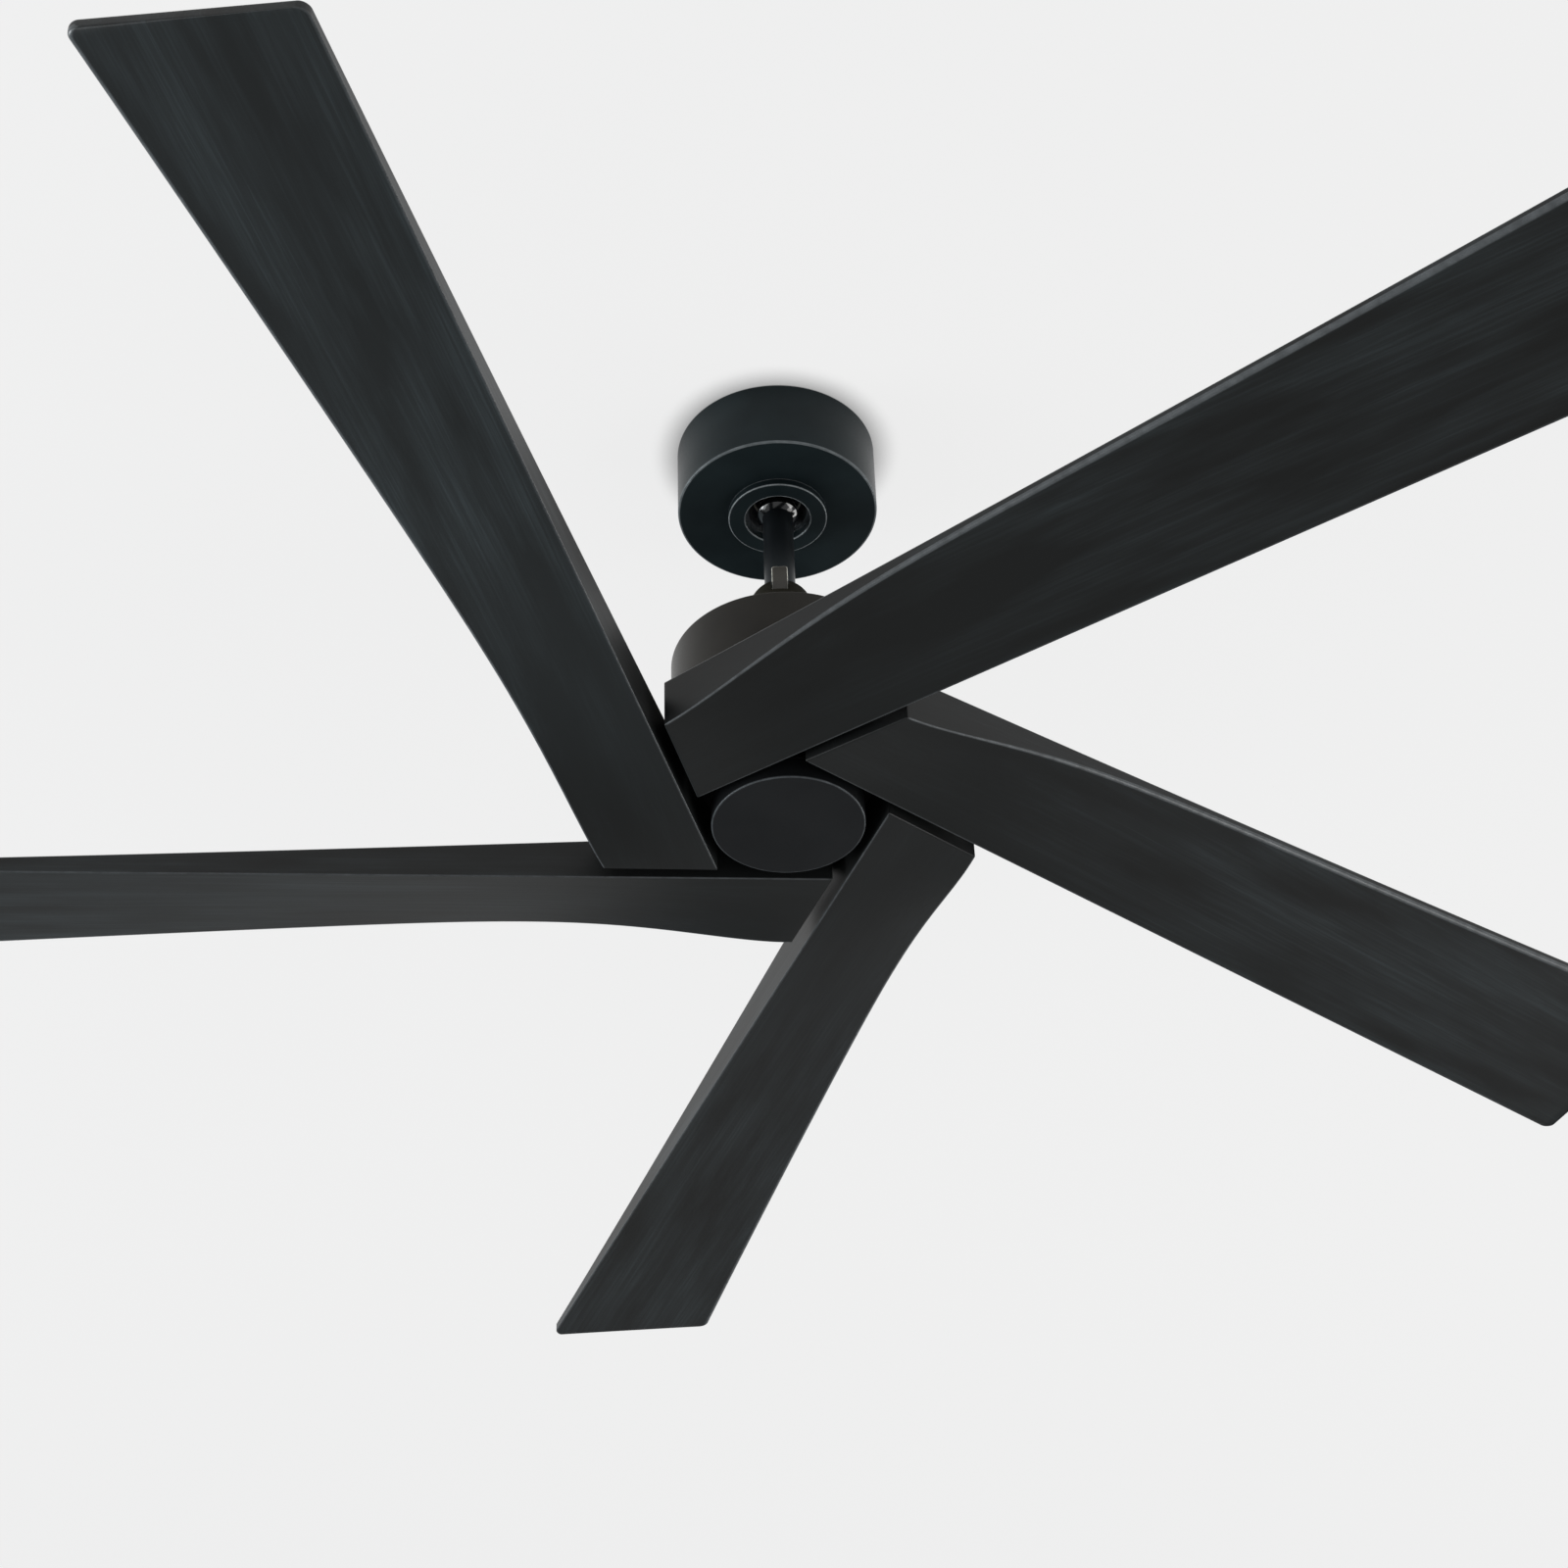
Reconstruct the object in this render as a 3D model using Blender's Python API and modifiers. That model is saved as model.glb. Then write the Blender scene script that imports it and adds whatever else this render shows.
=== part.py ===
"""Five-blade pinwheel ceiling fan, about 1780 mm across, hung by a ball and a short down rod.

The origin is on the ceiling, on the fan's axis, and +Z is up, so the fan hangs at negative Z.
Heights named *_H are measured up from the flat undersides of the blade roots.
"""
import math

import bmesh
import bpy
import numpy as np
from mathutils import Euler, Matrix, Vector

MM = 0.001

# Fits and cuts
FIT_GAP = 0.3 * MM
CUT_OVERRUN = 1.0 * MM
WELD_DISTANCE = 0.01 * MM

# Whole fan
CEILING_TO_BLADES = 423.5 * MM
BLADE_COUNT = 5
FIRST_BLADE_ANGLE = math.radians(-121.56)

# Blade, in its own frame: X across the blade, Y along it, Z up from the root's underside
CAP_GAP = 8.5 * MM
HUB_EDGE_DRIFT = 4.2 * MM
ROOT_WIDTH = 89.5 * MM
ROOT_HEIGHT = 44.6 * MM
ROOT_GAP = 10.3 * MM
BLADE_REACH = 857.0 * MM
OUTER_EDGE_SPREAD = 80.3 * MM
OUTER_EDGE_RISE = 36.4 * MM
RISE_LENGTH = 137.0 * MM
TIP_THICKNESS = 8.0 * MM
WALL_FALL_START = 40.0 * MM
BLADE_EDGE_CHAMFER = 1.2 * MM
TIP_CORNER_RADIUS = 9.0 * MM
RISE_POWER = 1.62
SPREAD_BEND_SHARE = 0.12
WALL_FALL_POWER = 1.2
BLADE_STATION_SHARES = (0.0, 0.025, 0.05, 0.075, 0.1, 0.13, 0.16, 0.2, 0.25, 0.31, 0.39, 0.5, 0.65, 0.82)
TIP_CORNER_SHARES = (0.0, 0.5, 0.86, 1.0)

# Blade hub and the screws that hold the blades up to it
HUB_MARGIN = 8.0 * MM
HUB_PLATE_THICKNESS = 6.0 * MM
HUB_EDGE_CHAMFER = 1.0 * MM
HUB_HOLE_RADIUS = 30.0 * MM
HUB_WALL_MARGIN = 1.0 * MM
HUB_WALL_THICKNESS = 12.0 * MM
HUB_WALL_HEIGHT = 32.8 * MM
BLADE_SCREW_GAP = 0.6 * MM
BLADE_SCREW_SPREAD = 24.0 * MM
ROOT_SCREW_ALONG = -18.0 * MM
MIDDLE_SCREW_ALONG = -4.0 * MM
OUTER_SCREW_ALONG = 42.0 * MM
BLADE_SCREW_HEAD_RADIUS = 4.4 * MM
BLADE_SCREW_HEAD_HEIGHT = 3.4 * MM
BLADE_SCREW_RADIUS = 2.5 * MM
BLADE_SCREW_LENGTH = 27.0 * MM

# Canopy and the ring round its hole
CANOPY_RADIUS = 88.0 * MM
CANOPY_HEIGHT = 71.0 * MM
CANOPY_WALL = 1.6 * MM
CANOPY_EDGE_RADIUS = 2.5 * MM
CANOPY_CEILING_GAP = 0.5 * MM
RING_MARGIN = 7.5 * MM
RING_HOLE_CLEARANCE = 3.6 * MM
RING_DROP = 7.6 * MM
RING_WALL = 1.6 * MM
RING_EDGE_CHAMFER = 0.8 * MM
CANOPY_SCREW_GAP = 2.5 * MM
CANOPY_SCREW_ANGLES = (math.radians(45.0), math.radians(225.0))
CANOPY_SCREW_HEAD_RADIUS = 3.6 * MM
CANOPY_SCREW_HEAD_HEIGHT = 2.4 * MM
CANOPY_SCREW_RADIUS = 2.0 * MM
CANOPY_SCREW_LENGTH = 11.0 * MM

# Hanger bracket
BRACKET_LENGTH = 124.0 * MM
BRACKET_WIDTH = 60.0 * MM
BRACKET_LEG_WIDTH = 58.0 * MM
BRACKET_THICKNESS = 2.5 * MM
BRACKET_LEG_OFFSET = 34.5 * MM
BRACKET_SLOT_SPACING = 88.9 * MM
BRACKET_SLOT_RADIUS = 2.6 * MM
BRACKET_SLOT_TRAVEL = 4.0 * MM
BRACKET_SLOT_SIDE = 17.0 * MM
WIRE_HOLE_RADIUS = 8.0 * MM
WIRE_HOLE_OFFSET = 18.0 * MM
SOCKET_WALL = 3.9 * MM
SOCKET_MOUTH_RADIUS = 26.0 * MM
SOCKET_LOW_ANGLE = math.radians(50.0)
SOCKET_HIGH_ANGLE = math.radians(86.0)
ROD_ENTRY_WIDTH = 30.0 * MM

# Hanger ball, its liner and its pin
BALL_RISE = 31.0 * MM
BALL_RADIUS = 25.0 * MM
BALL_TOP_FLAT = 18.0 * MM
BALL_PIN_RADIUS = 3.0 * MM
BALL_PIN_INSET = 6.0 * MM
BALL_SLOT_DEPTH = 8.0 * MM
BALL_SCREW_RADIUS = 2.5 * MM
BALL_SCREW_INSET = 1.55 * MM
BALL_SCREW_DROP = 2.0 * MM
LINER_THICKNESS = 2.0 * MM
LINER_LOW_ANGLE = math.radians(54.0)
LINER_HIGH_ANGLE = math.radians(84.0)

# Down rod
ROD_RADIUS = 13.35 * MM
ROD_WALL = 2.5 * MM
ROD_TOP_RISE = 22.0 * MM
ROD_END_RISE = 13.1 * MM

# Receiver module in the canopy
RECEIVER_LENGTH = 80.0 * MM
RECEIVER_WIDTH = 30.0 * MM
RECEIVER_HEIGHT = 24.0 * MM
RECEIVER_GAP = 8.0 * MM
RECEIVER_EDGE_RADIUS = 2.0 * MM

# Motor housing
HOUSING_RADIUS = 94.7 * MM
HOUSING_GAP = 7.1 * MM
HOUSING_HEIGHT = 112.9 * MM
HOUSING_WALL = 2.0 * MM
HOUSING_EDGE_RADIUS = 2.0 * MM

# Motor coupling and what fastens it
COUPLING_FLANGE_WIDTH = 14.5 * MM
COUPLING_FLANGE_THICKNESS = 6.0 * MM
COLLAR_WALL = 5.85 * MM
COLLAR_HEIGHT = 69.1 * MM
EAR_WIDTH = 13.8 * MM
EAR_THICKNESS = 3.2 * MM
EAR_CLEARANCE = 0.55 * MM
EAR_HEIGHT = 32.3 * MM
EAR_CORNER_RADIUS = 2.5 * MM
CLEVIS_RISE = 21.0 * MM
CLEVIS_RADIUS = 3.2 * MM
CLEVIS_TAIL = 6.4 * MM
CLEVIS_HEAD_RADIUS = 4.8 * MM
CLEVIS_HEAD_THICKNESS = 2.0 * MM
CLIP_WIRE_RADIUS = 0.8 * MM
CLIP_LEG = 7.0 * MM
CLIP_INSET = 2.4 * MM
CLIP_BOW = 2.6 * MM
SET_SCREW_INSET = 12.0 * MM
SET_SCREW_RADIUS = 2.7 * MM
SET_SCREW_LENGTH = 8.0 * MM
COUPLING_SCREW_GAP = 4.0 * MM
COUPLING_SCREW_COUNT = 3
COUPLING_SCREW_HEAD_RADIUS = 3.5 * MM
COUPLING_SCREW_HEAD_HEIGHT = 2.6 * MM
COUPLING_SCREW_RADIUS = 2.0 * MM
COUPLING_SCREW_LENGTH = 12.0 * MM

# Coupling cover: a dome on a flared skirt
COVER_ROOM = 8.5 * MM
DOME_CENTRE_INSET = 6.0 * MM
COVER_FLARE = 19.0 * MM
COVER_WALL = 1.5 * MM
COVER_HOLE_CLEARANCE = 1.55 * MM
COVER_NOTCH_CLEARANCE = 0.8 * MM
COVER_NOTCH_DEPTH = 26.0 * MM

# Stator shaft
SHAFT_RADIUS = 10.0 * MM
SHAFT_BORE_RADIUS = 5.5 * MM
SHAFT_FLANGE_MARGIN = 5.0 * MM
SHAFT_FLANGE_THICKNESS = 4.0 * MM
SHAFT_THREAD_DEPTH = 2.3 * MM
SHAFT_TAIL = 2.4 * MM
GROOVE_DEPTH = 0.8 * MM
GROOVE_WIDTH = 1.8 * MM
RETAINER_WIDTH = 3.5 * MM
RETAINER_THICKNESS = 1.2 * MM
RETAINER_OPENING = 8.0 * MM

# Stator, driver board and bearings
BOARD_INSET = 26.7 * MM
BOARD_THICKNESS = 1.6 * MM
STATOR_RADIUS_SHARE = 0.6547
YOKE_RADIUS_SHARE = 0.4839
STATOR_BEARING_GAP = 9.6 * MM
TOOTH_COUNT = 12
TOOTH_WIDTH_SHARE = 0.5093
TOOTH_TIP_DEPTH = 3.5 * MM
TOOTH_TIP_SHARE = 0.8
WINDING_INSET = 0.5 * MM
WINDING_YOKE_CLEARANCE = 3.0 * MM
WINDING_OVERHANG = 6.0 * MM
WINDING_GAP = 4.0 * MM
BEARING_RADIUS = 21.0 * MM
BEARING_HEIGHT = 9.0 * MM
BEARING_GROOVE_DEPTH = 0.6 * MM
BEARING_RACE_WIDTH = 3.2 * MM

# Rotor
MAGNET_AIR_GAP = 0.9 * MM
MAGNET_THICKNESS = 5.1 * MM
MAGNET_OVERHANG = 1.0 * MM
ROTOR_WALL = 6.0 * MM
ROTOR_FLANGE_MARGIN = 3.8 * MM
ROTOR_BOARD_GAP = 9.7 * MM
ROTOR_DISC_THICKNESS = 3.0 * MM
ROTOR_FLANGE_THICKNESS = 4.0 * MM
LOWER_BOSS_DEPTH = 13.0 * MM
UPPER_LIP_THICKNESS = 4.1 * MM
BEARING_BOSS_WALL = 4.0 * MM
BEARING_LIP_CLEARANCE = 2.0 * MM
ROTOR_BOLT_GAP = 1.0 * MM
ROTOR_BOLT_COUNT = 3
ROTOR_BOLT_HEAD_RADIUS = 2.9 * MM
ROTOR_BOLT_HEAD_HEIGHT = 2.8 * MM
ROTOR_BOLT_RADIUS = 1.7 * MM
ROTOR_BOLT_LENGTH = 22.0 * MM

# Bottom cap and what carries it
CAP_RADIUS = 62.8 * MM
CAP_FACE_DROP = 0.6 * MM
CAP_FACE_THICKNESS = 2.0 * MM
CAP_WALL = 1.6 * MM
CAP_HEIGHT = 20.6 * MM
CAP_EDGE_CHAMFER = 0.8 * MM
CARRIER_THICKNESS = 3.0 * MM
CARRIER_WALL = 1.6 * MM
CARRIER_DEPTH = 15.7 * MM
CARRIER_RISE = 3.7 * MM
NUT_RADIUS = 12.5 * MM
NUT_HEIGHT = 9.0 * MM
NUT_SIDES = 6

# Which pieces stay on the ceiling and which turn; the others tilt with the rod
STILL_PIECES = ("hanger_bracket", "canopy", "receiver_module")
TURNING_PIECES = ("rotor_", "magnet_ring", "blade_")

# Facets round a turn, and points along the curves of a profile
FINE_STEPS = 36
TURN_STEPS = 24
SMALL_STEPS = 16
SCREW_STEPS = 8
BEND_POINTS = 3
SLOT_END_POINTS = 4
SEAT_POINTS = 4
FLARE_POINTS = 5
BALL_POINTS = 6
CREASE_ANGLE = math.radians(35.0)

FINISHES = {
    "black_coat": ((0.020, 0.021, 0.023), 0.55, 0.0),
    "blade_black": ((0.021, 0.022, 0.023), 0.60, 0.0),
    "gloss_black": ((0.010, 0.010, 0.011), 0.18, 0.0),
    "zinc_steel": ((0.42, 0.43, 0.45), 0.38, 1.0),
    "bare_steel": ((0.50, 0.50, 0.51), 0.30, 1.0),
    "cast_aluminium": ((0.46, 0.47, 0.48), 0.50, 1.0),
    "core_steel": ((0.24, 0.25, 0.27), 0.45, 1.0),
    "copper_wire": ((0.55, 0.22, 0.10), 0.40, 1.0),
    "ferrite": ((0.06, 0.06, 0.065), 0.60, 0.0),
    "board_green": ((0.02, 0.12, 0.05), 0.50, 0.0),
    "black_plastic": ((0.018, 0.018, 0.019), 0.45, 0.0),
    "white_nylon": ((0.62, 0.61, 0.57), 0.45, 0.0),
}


def height(above_blades):
    """World Z of a height measured up from the blade roots' undersides."""
    return above_blades - CEILING_TO_BLADES


def clear_scene():
    for old in list(bpy.data.objects):
        bpy.data.objects.remove(old, do_unlink=True)


def make_collection(name):
    group = bpy.data.collections.new(name)
    bpy.context.scene.collection.children.link(group)
    return group


def make_finish(part_name, finish_name):
    colour, roughness, metallic = FINISHES[finish_name]
    finish = bpy.data.materials.new(part_name)
    finish.use_nodes = True
    shader = finish.node_tree.nodes["Principled BSDF"]
    shader.inputs["Base Color"].default_value = (*colour, 1.0)
    shader.inputs["Roughness"].default_value = roughness
    shader.inputs["Metallic"].default_value = metallic
    return finish


clear_scene()
PARTS = make_collection("ceiling_fan")
CUTTERS = make_collection("cutters")


def add_part(name, mesh, finish_name, location=(0.0, 0.0, 0.0), rotation=(0.0, 0.0, 0.0)):
    """Put a mesh into the fan as one named piece with a material of its own."""
    part = bpy.data.objects.new(name, mesh)
    PARTS.objects.link(part)
    mesh.shade_smooth()
    mesh.set_sharp_from_angle(angle=CREASE_ANGLE)
    if not mesh.materials:
        mesh.materials.append(None)
    part.material_slots[0].link = "OBJECT"
    part.material_slots[0].material = make_finish(name, finish_name)
    part.location = location
    part.rotation_euler = rotation
    return part


def mesh_from(verts, edges, faces):
    mesh = bpy.data.meshes.new("shape")
    mesh.from_pydata([tuple(v) for v in verts], edges, faces)
    mesh.update()
    return mesh


def arc(centre_r, centre_z, radius, start, end, count):
    """Points on an arc in the profile plane; angles are measured up from +X."""
    angles = np.linspace(start, end, count)
    return [(centre_r + radius * math.cos(a), centre_z + radius * math.sin(a)) for a in angles]


def ring_outline(inner, outer, low, high):
    """Closed profile of a plain ring, running down its outer side."""
    return [(inner, high), (outer, high), (outer, low), (inner, low)]


def profile_mesh(outline, closed):
    count = len(outline)
    edges = [(i, i + 1) for i in range(count - 1)]
    if closed:
        edges.append((count - 1, 0))
    return mesh_from([(r, 0.0, z) for r, z in outline], edges, [])


def finished_mesh(source):
    """The evaluated mesh of a helper object, which is then removed."""
    bpy.context.view_layer.update()
    evaluated = source.evaluated_get(bpy.context.evaluated_depsgraph_get())
    mesh = bpy.data.meshes.new_from_object(evaluated)
    bpy.data.objects.remove(source, do_unlink=True)
    welded = bmesh.new()
    welded.from_mesh(mesh)
    bmesh.ops.remove_doubles(welded, verts=welded.verts, dist=WELD_DISTANCE)
    welded.to_mesh(mesh)
    welded.free()
    return mesh


def turned_mesh(outline, steps, closed=True):
    """Turn a profile about the Z axis; it runs down the outer side."""
    helper = bpy.data.objects.new("helper", profile_mesh(outline, closed))
    bpy.context.scene.collection.objects.link(helper)
    turn = helper.modifiers.new("turn", "SCREW")
    turn.axis = "Z"
    turn.angle = math.tau
    turn.steps = steps
    turn.render_steps = steps
    turn.use_merge_vertices = True
    turn.merge_threshold = WELD_DISTANCE
    return finished_mesh(helper)


def turned(name, outline, finish_name, steps, closed=True, base_z=0.0):
    """A turned piece whose profile heights are measured up from base_z."""
    return add_part(name, turned_mesh(outline, steps, closed), finish_name, (0.0, 0.0, base_z))


def plate_mesh(outlines, thickness):
    """A flat outline, with any holes as further loops, extruded evenly about its plane."""
    curve = bpy.data.curves.new("outline", "CURVE")
    curve.dimensions = "2D"
    curve.fill_mode = "BOTH"
    curve.extrude = thickness / 2
    for outline in outlines:
        spline = curve.splines.new("POLY")
        spline.points.add(len(outline) - 1)
        for point, (x, y) in zip(spline.points, outline):
            point.co = (x, y, 0.0, 1.0)
        spline.use_cyclic_u = True
    helper = bpy.data.objects.new("helper", curve)
    bpy.context.scene.collection.objects.link(helper)
    return finished_mesh(helper)


def box_mesh(size):
    shape = bmesh.new()
    bmesh.ops.create_cube(shape, size=1.0)
    bmesh.ops.scale(shape, vec=Vector(size), verts=shape.verts)
    mesh = bpy.data.meshes.new("box")
    shape.to_mesh(mesh)
    shape.free()
    return mesh


def cylinder_mesh(radius, length, steps):
    shape = bmesh.new()
    bmesh.ops.create_cone(
        shape, cap_ends=True, segments=steps, depth=length, radius1=radius, radius2=radius,
    )
    mesh = bpy.data.meshes.new("cylinder")
    shape.to_mesh(mesh)
    shape.free()
    return mesh


ALONG_X = (0.0, math.pi / 2, 0.0)
ALONG_Y = (math.pi / 2, 0.0, 0.0)


def combine(part, mesh, operation, location, rotation=(0.0, 0.0, 0.0)):
    """Cut a shape out of a part, or join one to it; the shape lies in the part's own frame."""
    tool = bpy.data.objects.new(f"{part.name}_tool", mesh)
    CUTTERS.objects.link(tool)
    tool.hide_render = True
    tool.display_type = "WIRE"
    tool.parent = part
    tool.location = location
    tool.rotation_euler = rotation
    step = part.modifiers.new("combine", "BOOLEAN")
    step.operation = operation
    step.solver = "EXACT"
    step.object = tool


def cut(part, mesh, location, rotation=(0.0, 0.0, 0.0)):
    combine(part, mesh, "DIFFERENCE", location, rotation)


def join(part, mesh, location, rotation=(0.0, 0.0, 0.0)):
    combine(part, mesh, "UNION", location, rotation)


def round_spot(radius, angle, z=0.0):
    return (radius * math.cos(angle), radius * math.sin(angle), z)


def drill(part, radius, thickness, location, rotation=(0.0, 0.0, 0.0)):
    """Drill a round hole right through a wall whose middle is at the location."""
    cut(part, cylinder_mesh(radius, thickness + 2 * CUT_OVERRUN, SCREW_STEPS), location, rotation)


def screw_mesh(head_radius, head_height, shank_radius, length):
    """A screw standing with its head on a seat at Z zero and its shank pointing down."""
    outline = [
        (0.0, head_height), (head_radius, head_height), (head_radius, 0.0),
        (shank_radius, 0.0), (shank_radius, -length), (0.0, -length),
    ]
    return turned_mesh(outline, SCREW_STEPS, closed=False)


# Places and sizes that follow from the ones above: on the ceiling
BALL_DROP = CANOPY_HEIGHT - BALL_RISE
SOCKET_RADIUS = BALL_RADIUS + LINER_THICKNESS + 2 * FIT_GAP
SOCKET_OUTER_RADIUS = SOCKET_RADIUS + SOCKET_WALL
CANOPY_FLOOR_Z = -CANOPY_HEIGHT + CANOPY_WALL
WEB_LOW_Z = CANOPY_FLOOR_Z + FIT_GAP
WEB_TOP_Z = WEB_LOW_Z + BRACKET_THICKNESS
RING_LOW_Z = -CANOPY_HEIGHT - RING_DROP
RING_HOLE_RADIUS = BALL_RADIUS + RING_HOLE_CLEARANCE
CANOPY_HOLE_RADIUS = RING_HOLE_RADIUS + RING_WALL + FIT_GAP
CANOPY_SCREW_CIRCLE = SOCKET_OUTER_RADIUS + CANOPY_SCREW_RADIUS + CANOPY_SCREW_GAP
RING_RADIUS = CANOPY_SCREW_CIRCLE + RING_MARGIN
RECEIVER_OFFSET = (BRACKET_WIDTH + RECEIVER_WIDTH) / 2 + RECEIVER_GAP

# In the ball
BALL_BORE_RADIUS = ROD_RADIUS + FIT_GAP
BALL_PIN_Z = -BALL_DROP + BALL_TOP_FLAT - BALL_SLOT_DEPTH + FIT_GAP + BALL_PIN_RADIUS
BALL_PIN_LENGTH = 2 * (BALL_RADIUS - BALL_PIN_INSET)
BALL_SCREW_LENGTH = BALL_RADIUS - BALL_SCREW_INSET - BALL_BORE_RADIUS

# Bottom cap and the shaft's lower end
CAP_TOP_H = CAP_HEIGHT - CAP_FACE_DROP
CARRIER_TOP_H = CAP_TOP_H + CARRIER_RISE
CARRIER_RADIUS = CAP_RADIUS - CAP_WALL - FIT_GAP
NUT_TOP_H = CARRIER_TOP_H - CARRIER_THICKNESS - FIT_GAP
SHAFT_SHOULDER_H = CARRIER_TOP_H + FIT_GAP
SHAFT_END_H = NUT_TOP_H - NUT_HEIGHT - SHAFT_TAIL
SHAFT_THREAD_RADIUS = SHAFT_RADIUS - SHAFT_THREAD_DEPTH
SHAFT_HOLE_RADIUS = SHAFT_RADIUS + FIT_GAP
HUB_EDGE_OFFSET = CAP_RADIUS + CAP_GAP

# Heights up the motor, from the blade hub
HUB_LOW_H = ROOT_HEIGHT + FIT_GAP
HUB_SEAT_H = HUB_LOW_H + HUB_PLATE_THICKNESS
HUB_TOP_H = HUB_SEAT_H + HUB_WALL_HEIGHT
HOUSING_LOW_H = HUB_SEAT_H + HOUSING_GAP
HOUSING_TOP_H = HOUSING_LOW_H + HOUSING_HEIGHT
HOUSING_INNER_TOP_H = HOUSING_TOP_H - HOUSING_WALL
SHAFT_FLANGE_TOP_H = HOUSING_INNER_TOP_H - FIT_GAP
SHAFT_FLANGE_LOW_H = SHAFT_FLANGE_TOP_H - SHAFT_FLANGE_THICKNESS
BOARD_TOP_H = SHAFT_FLANGE_LOW_H - FIT_GAP
ROTOR_TOP_H = BOARD_TOP_H - BOARD_THICKNESS - ROTOR_BOARD_GAP
UPPER_BEARING_H = ROTOR_TOP_H - UPPER_LIP_THICKNESS - FIT_GAP - BEARING_HEIGHT
LOWER_COVER_LOW_H = HUB_TOP_H + FIT_GAP
ROTOR_FLANGE_H = LOWER_COVER_LOW_H + ROTOR_FLANGE_THICKNESS
UPPER_FLANGE_TOP_H = ROTOR_FLANGE_H + FIT_GAP + ROTOR_FLANGE_THICKNESS
LOWER_BEARING_H = LOWER_COVER_LOW_H - LOWER_BOSS_DEPTH
STATOR_LOW_H = ROTOR_FLANGE_H + WINDING_GAP + WINDING_OVERHANG
STATOR_HEIGHT = UPPER_BEARING_H - STATOR_BEARING_GAP - STATOR_LOW_H

# Radii out through the motor, and the hub that its rotor carries
STATOR_RADIUS = STATOR_RADIUS_SHARE * HOUSING_RADIUS
STATOR_YOKE_RADIUS = YOKE_RADIUS_SHARE * STATOR_RADIUS
TOOTH_WIDTH = TOOTH_WIDTH_SHARE * STATOR_YOKE_RADIUS * math.tau / TOOTH_COUNT
BOARD_RADIUS = HOUSING_RADIUS - BOARD_INSET
MAGNET_INNER_RADIUS = STATOR_RADIUS + MAGNET_AIR_GAP
MAGNET_OUTER_RADIUS = MAGNET_INNER_RADIUS + MAGNET_THICKNESS
ROTOR_INNER_RADIUS = MAGNET_OUTER_RADIUS + FIT_GAP
ROTOR_RADIUS = ROTOR_INNER_RADIUS + ROTOR_WALL
ROTOR_BOLT_CIRCLE = ROTOR_RADIUS + ROTOR_BOLT_HEAD_RADIUS + ROTOR_BOLT_GAP
ROTOR_FLANGE_RADIUS = ROTOR_BOLT_CIRCLE + ROTOR_FLANGE_MARGIN
BEARING_SEAT_RADIUS = BEARING_RADIUS + FIT_GAP
BEARING_BOSS_RADIUS = BEARING_SEAT_RADIUS + BEARING_BOSS_WALL
BEARING_LIP_RADIUS = SHAFT_RADIUS + BEARING_LIP_CLEARANCE
HUB_WALL_OUTER_RADIUS = ROTOR_FLANGE_RADIUS + HUB_WALL_MARGIN
NEAR_SCREW_ACROSS = HUB_WALL_OUTER_RADIUS + BLADE_SCREW_HEAD_RADIUS + BLADE_SCREW_GAP
FAR_SCREW_ACROSS = NEAR_SCREW_ACROSS + BLADE_SCREW_SPREAD
HUB_RADIUS = FAR_SCREW_ACROSS + HUB_MARGIN
BLADE_SCREW_SPOTS = (
    (NEAR_SCREW_ACROSS, ROOT_SCREW_ALONG),
    (FAR_SCREW_ACROSS, MIDDLE_SCREW_ALONG),
    (NEAR_SCREW_ACROSS, OUTER_SCREW_ALONG),
)

# Coupling and its cover, on top of the housing
COUPLING_LOW_H = HOUSING_TOP_H + FIT_GAP
COUPLING_SEAT_H = COUPLING_LOW_H + COUPLING_FLANGE_THICKNESS
ROD_END_H = HOUSING_TOP_H + ROD_END_RISE
COLLAR_RADIUS = ROD_RADIUS + FIT_GAP + COLLAR_WALL
COLLAR_TOP_H = HOUSING_TOP_H + COLLAR_HEIGHT
EAR_OFFSET = ROD_RADIUS + EAR_CLEARANCE
EAR_TOP_H = COLLAR_TOP_H + EAR_HEIGHT
CLEVIS_H = ROD_END_H + CLEVIS_RISE
CLEVIS_LENGTH = 2 * (COLLAR_RADIUS + FIT_GAP) + CLEVIS_TAIL
SET_SCREW_H = COLLAR_TOP_H - SET_SCREW_INSET
COUPLING_FLANGE_RADIUS = COLLAR_RADIUS + COUPLING_FLANGE_WIDTH
COUPLING_SCREW_CIRCLE = COLLAR_RADIUS + COUPLING_SCREW_HEAD_RADIUS + COUPLING_SCREW_GAP
SHAFT_FLANGE_RADIUS = COUPLING_SCREW_CIRCLE + SHAFT_FLANGE_MARGIN
DOME_RADIUS = COLLAR_RADIUS + COVER_ROOM
DOME_CENTRE_H = COLLAR_TOP_H - DOME_CENTRE_INSET
COVER_BASE_RADIUS = DOME_RADIUS + COVER_FLARE


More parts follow.
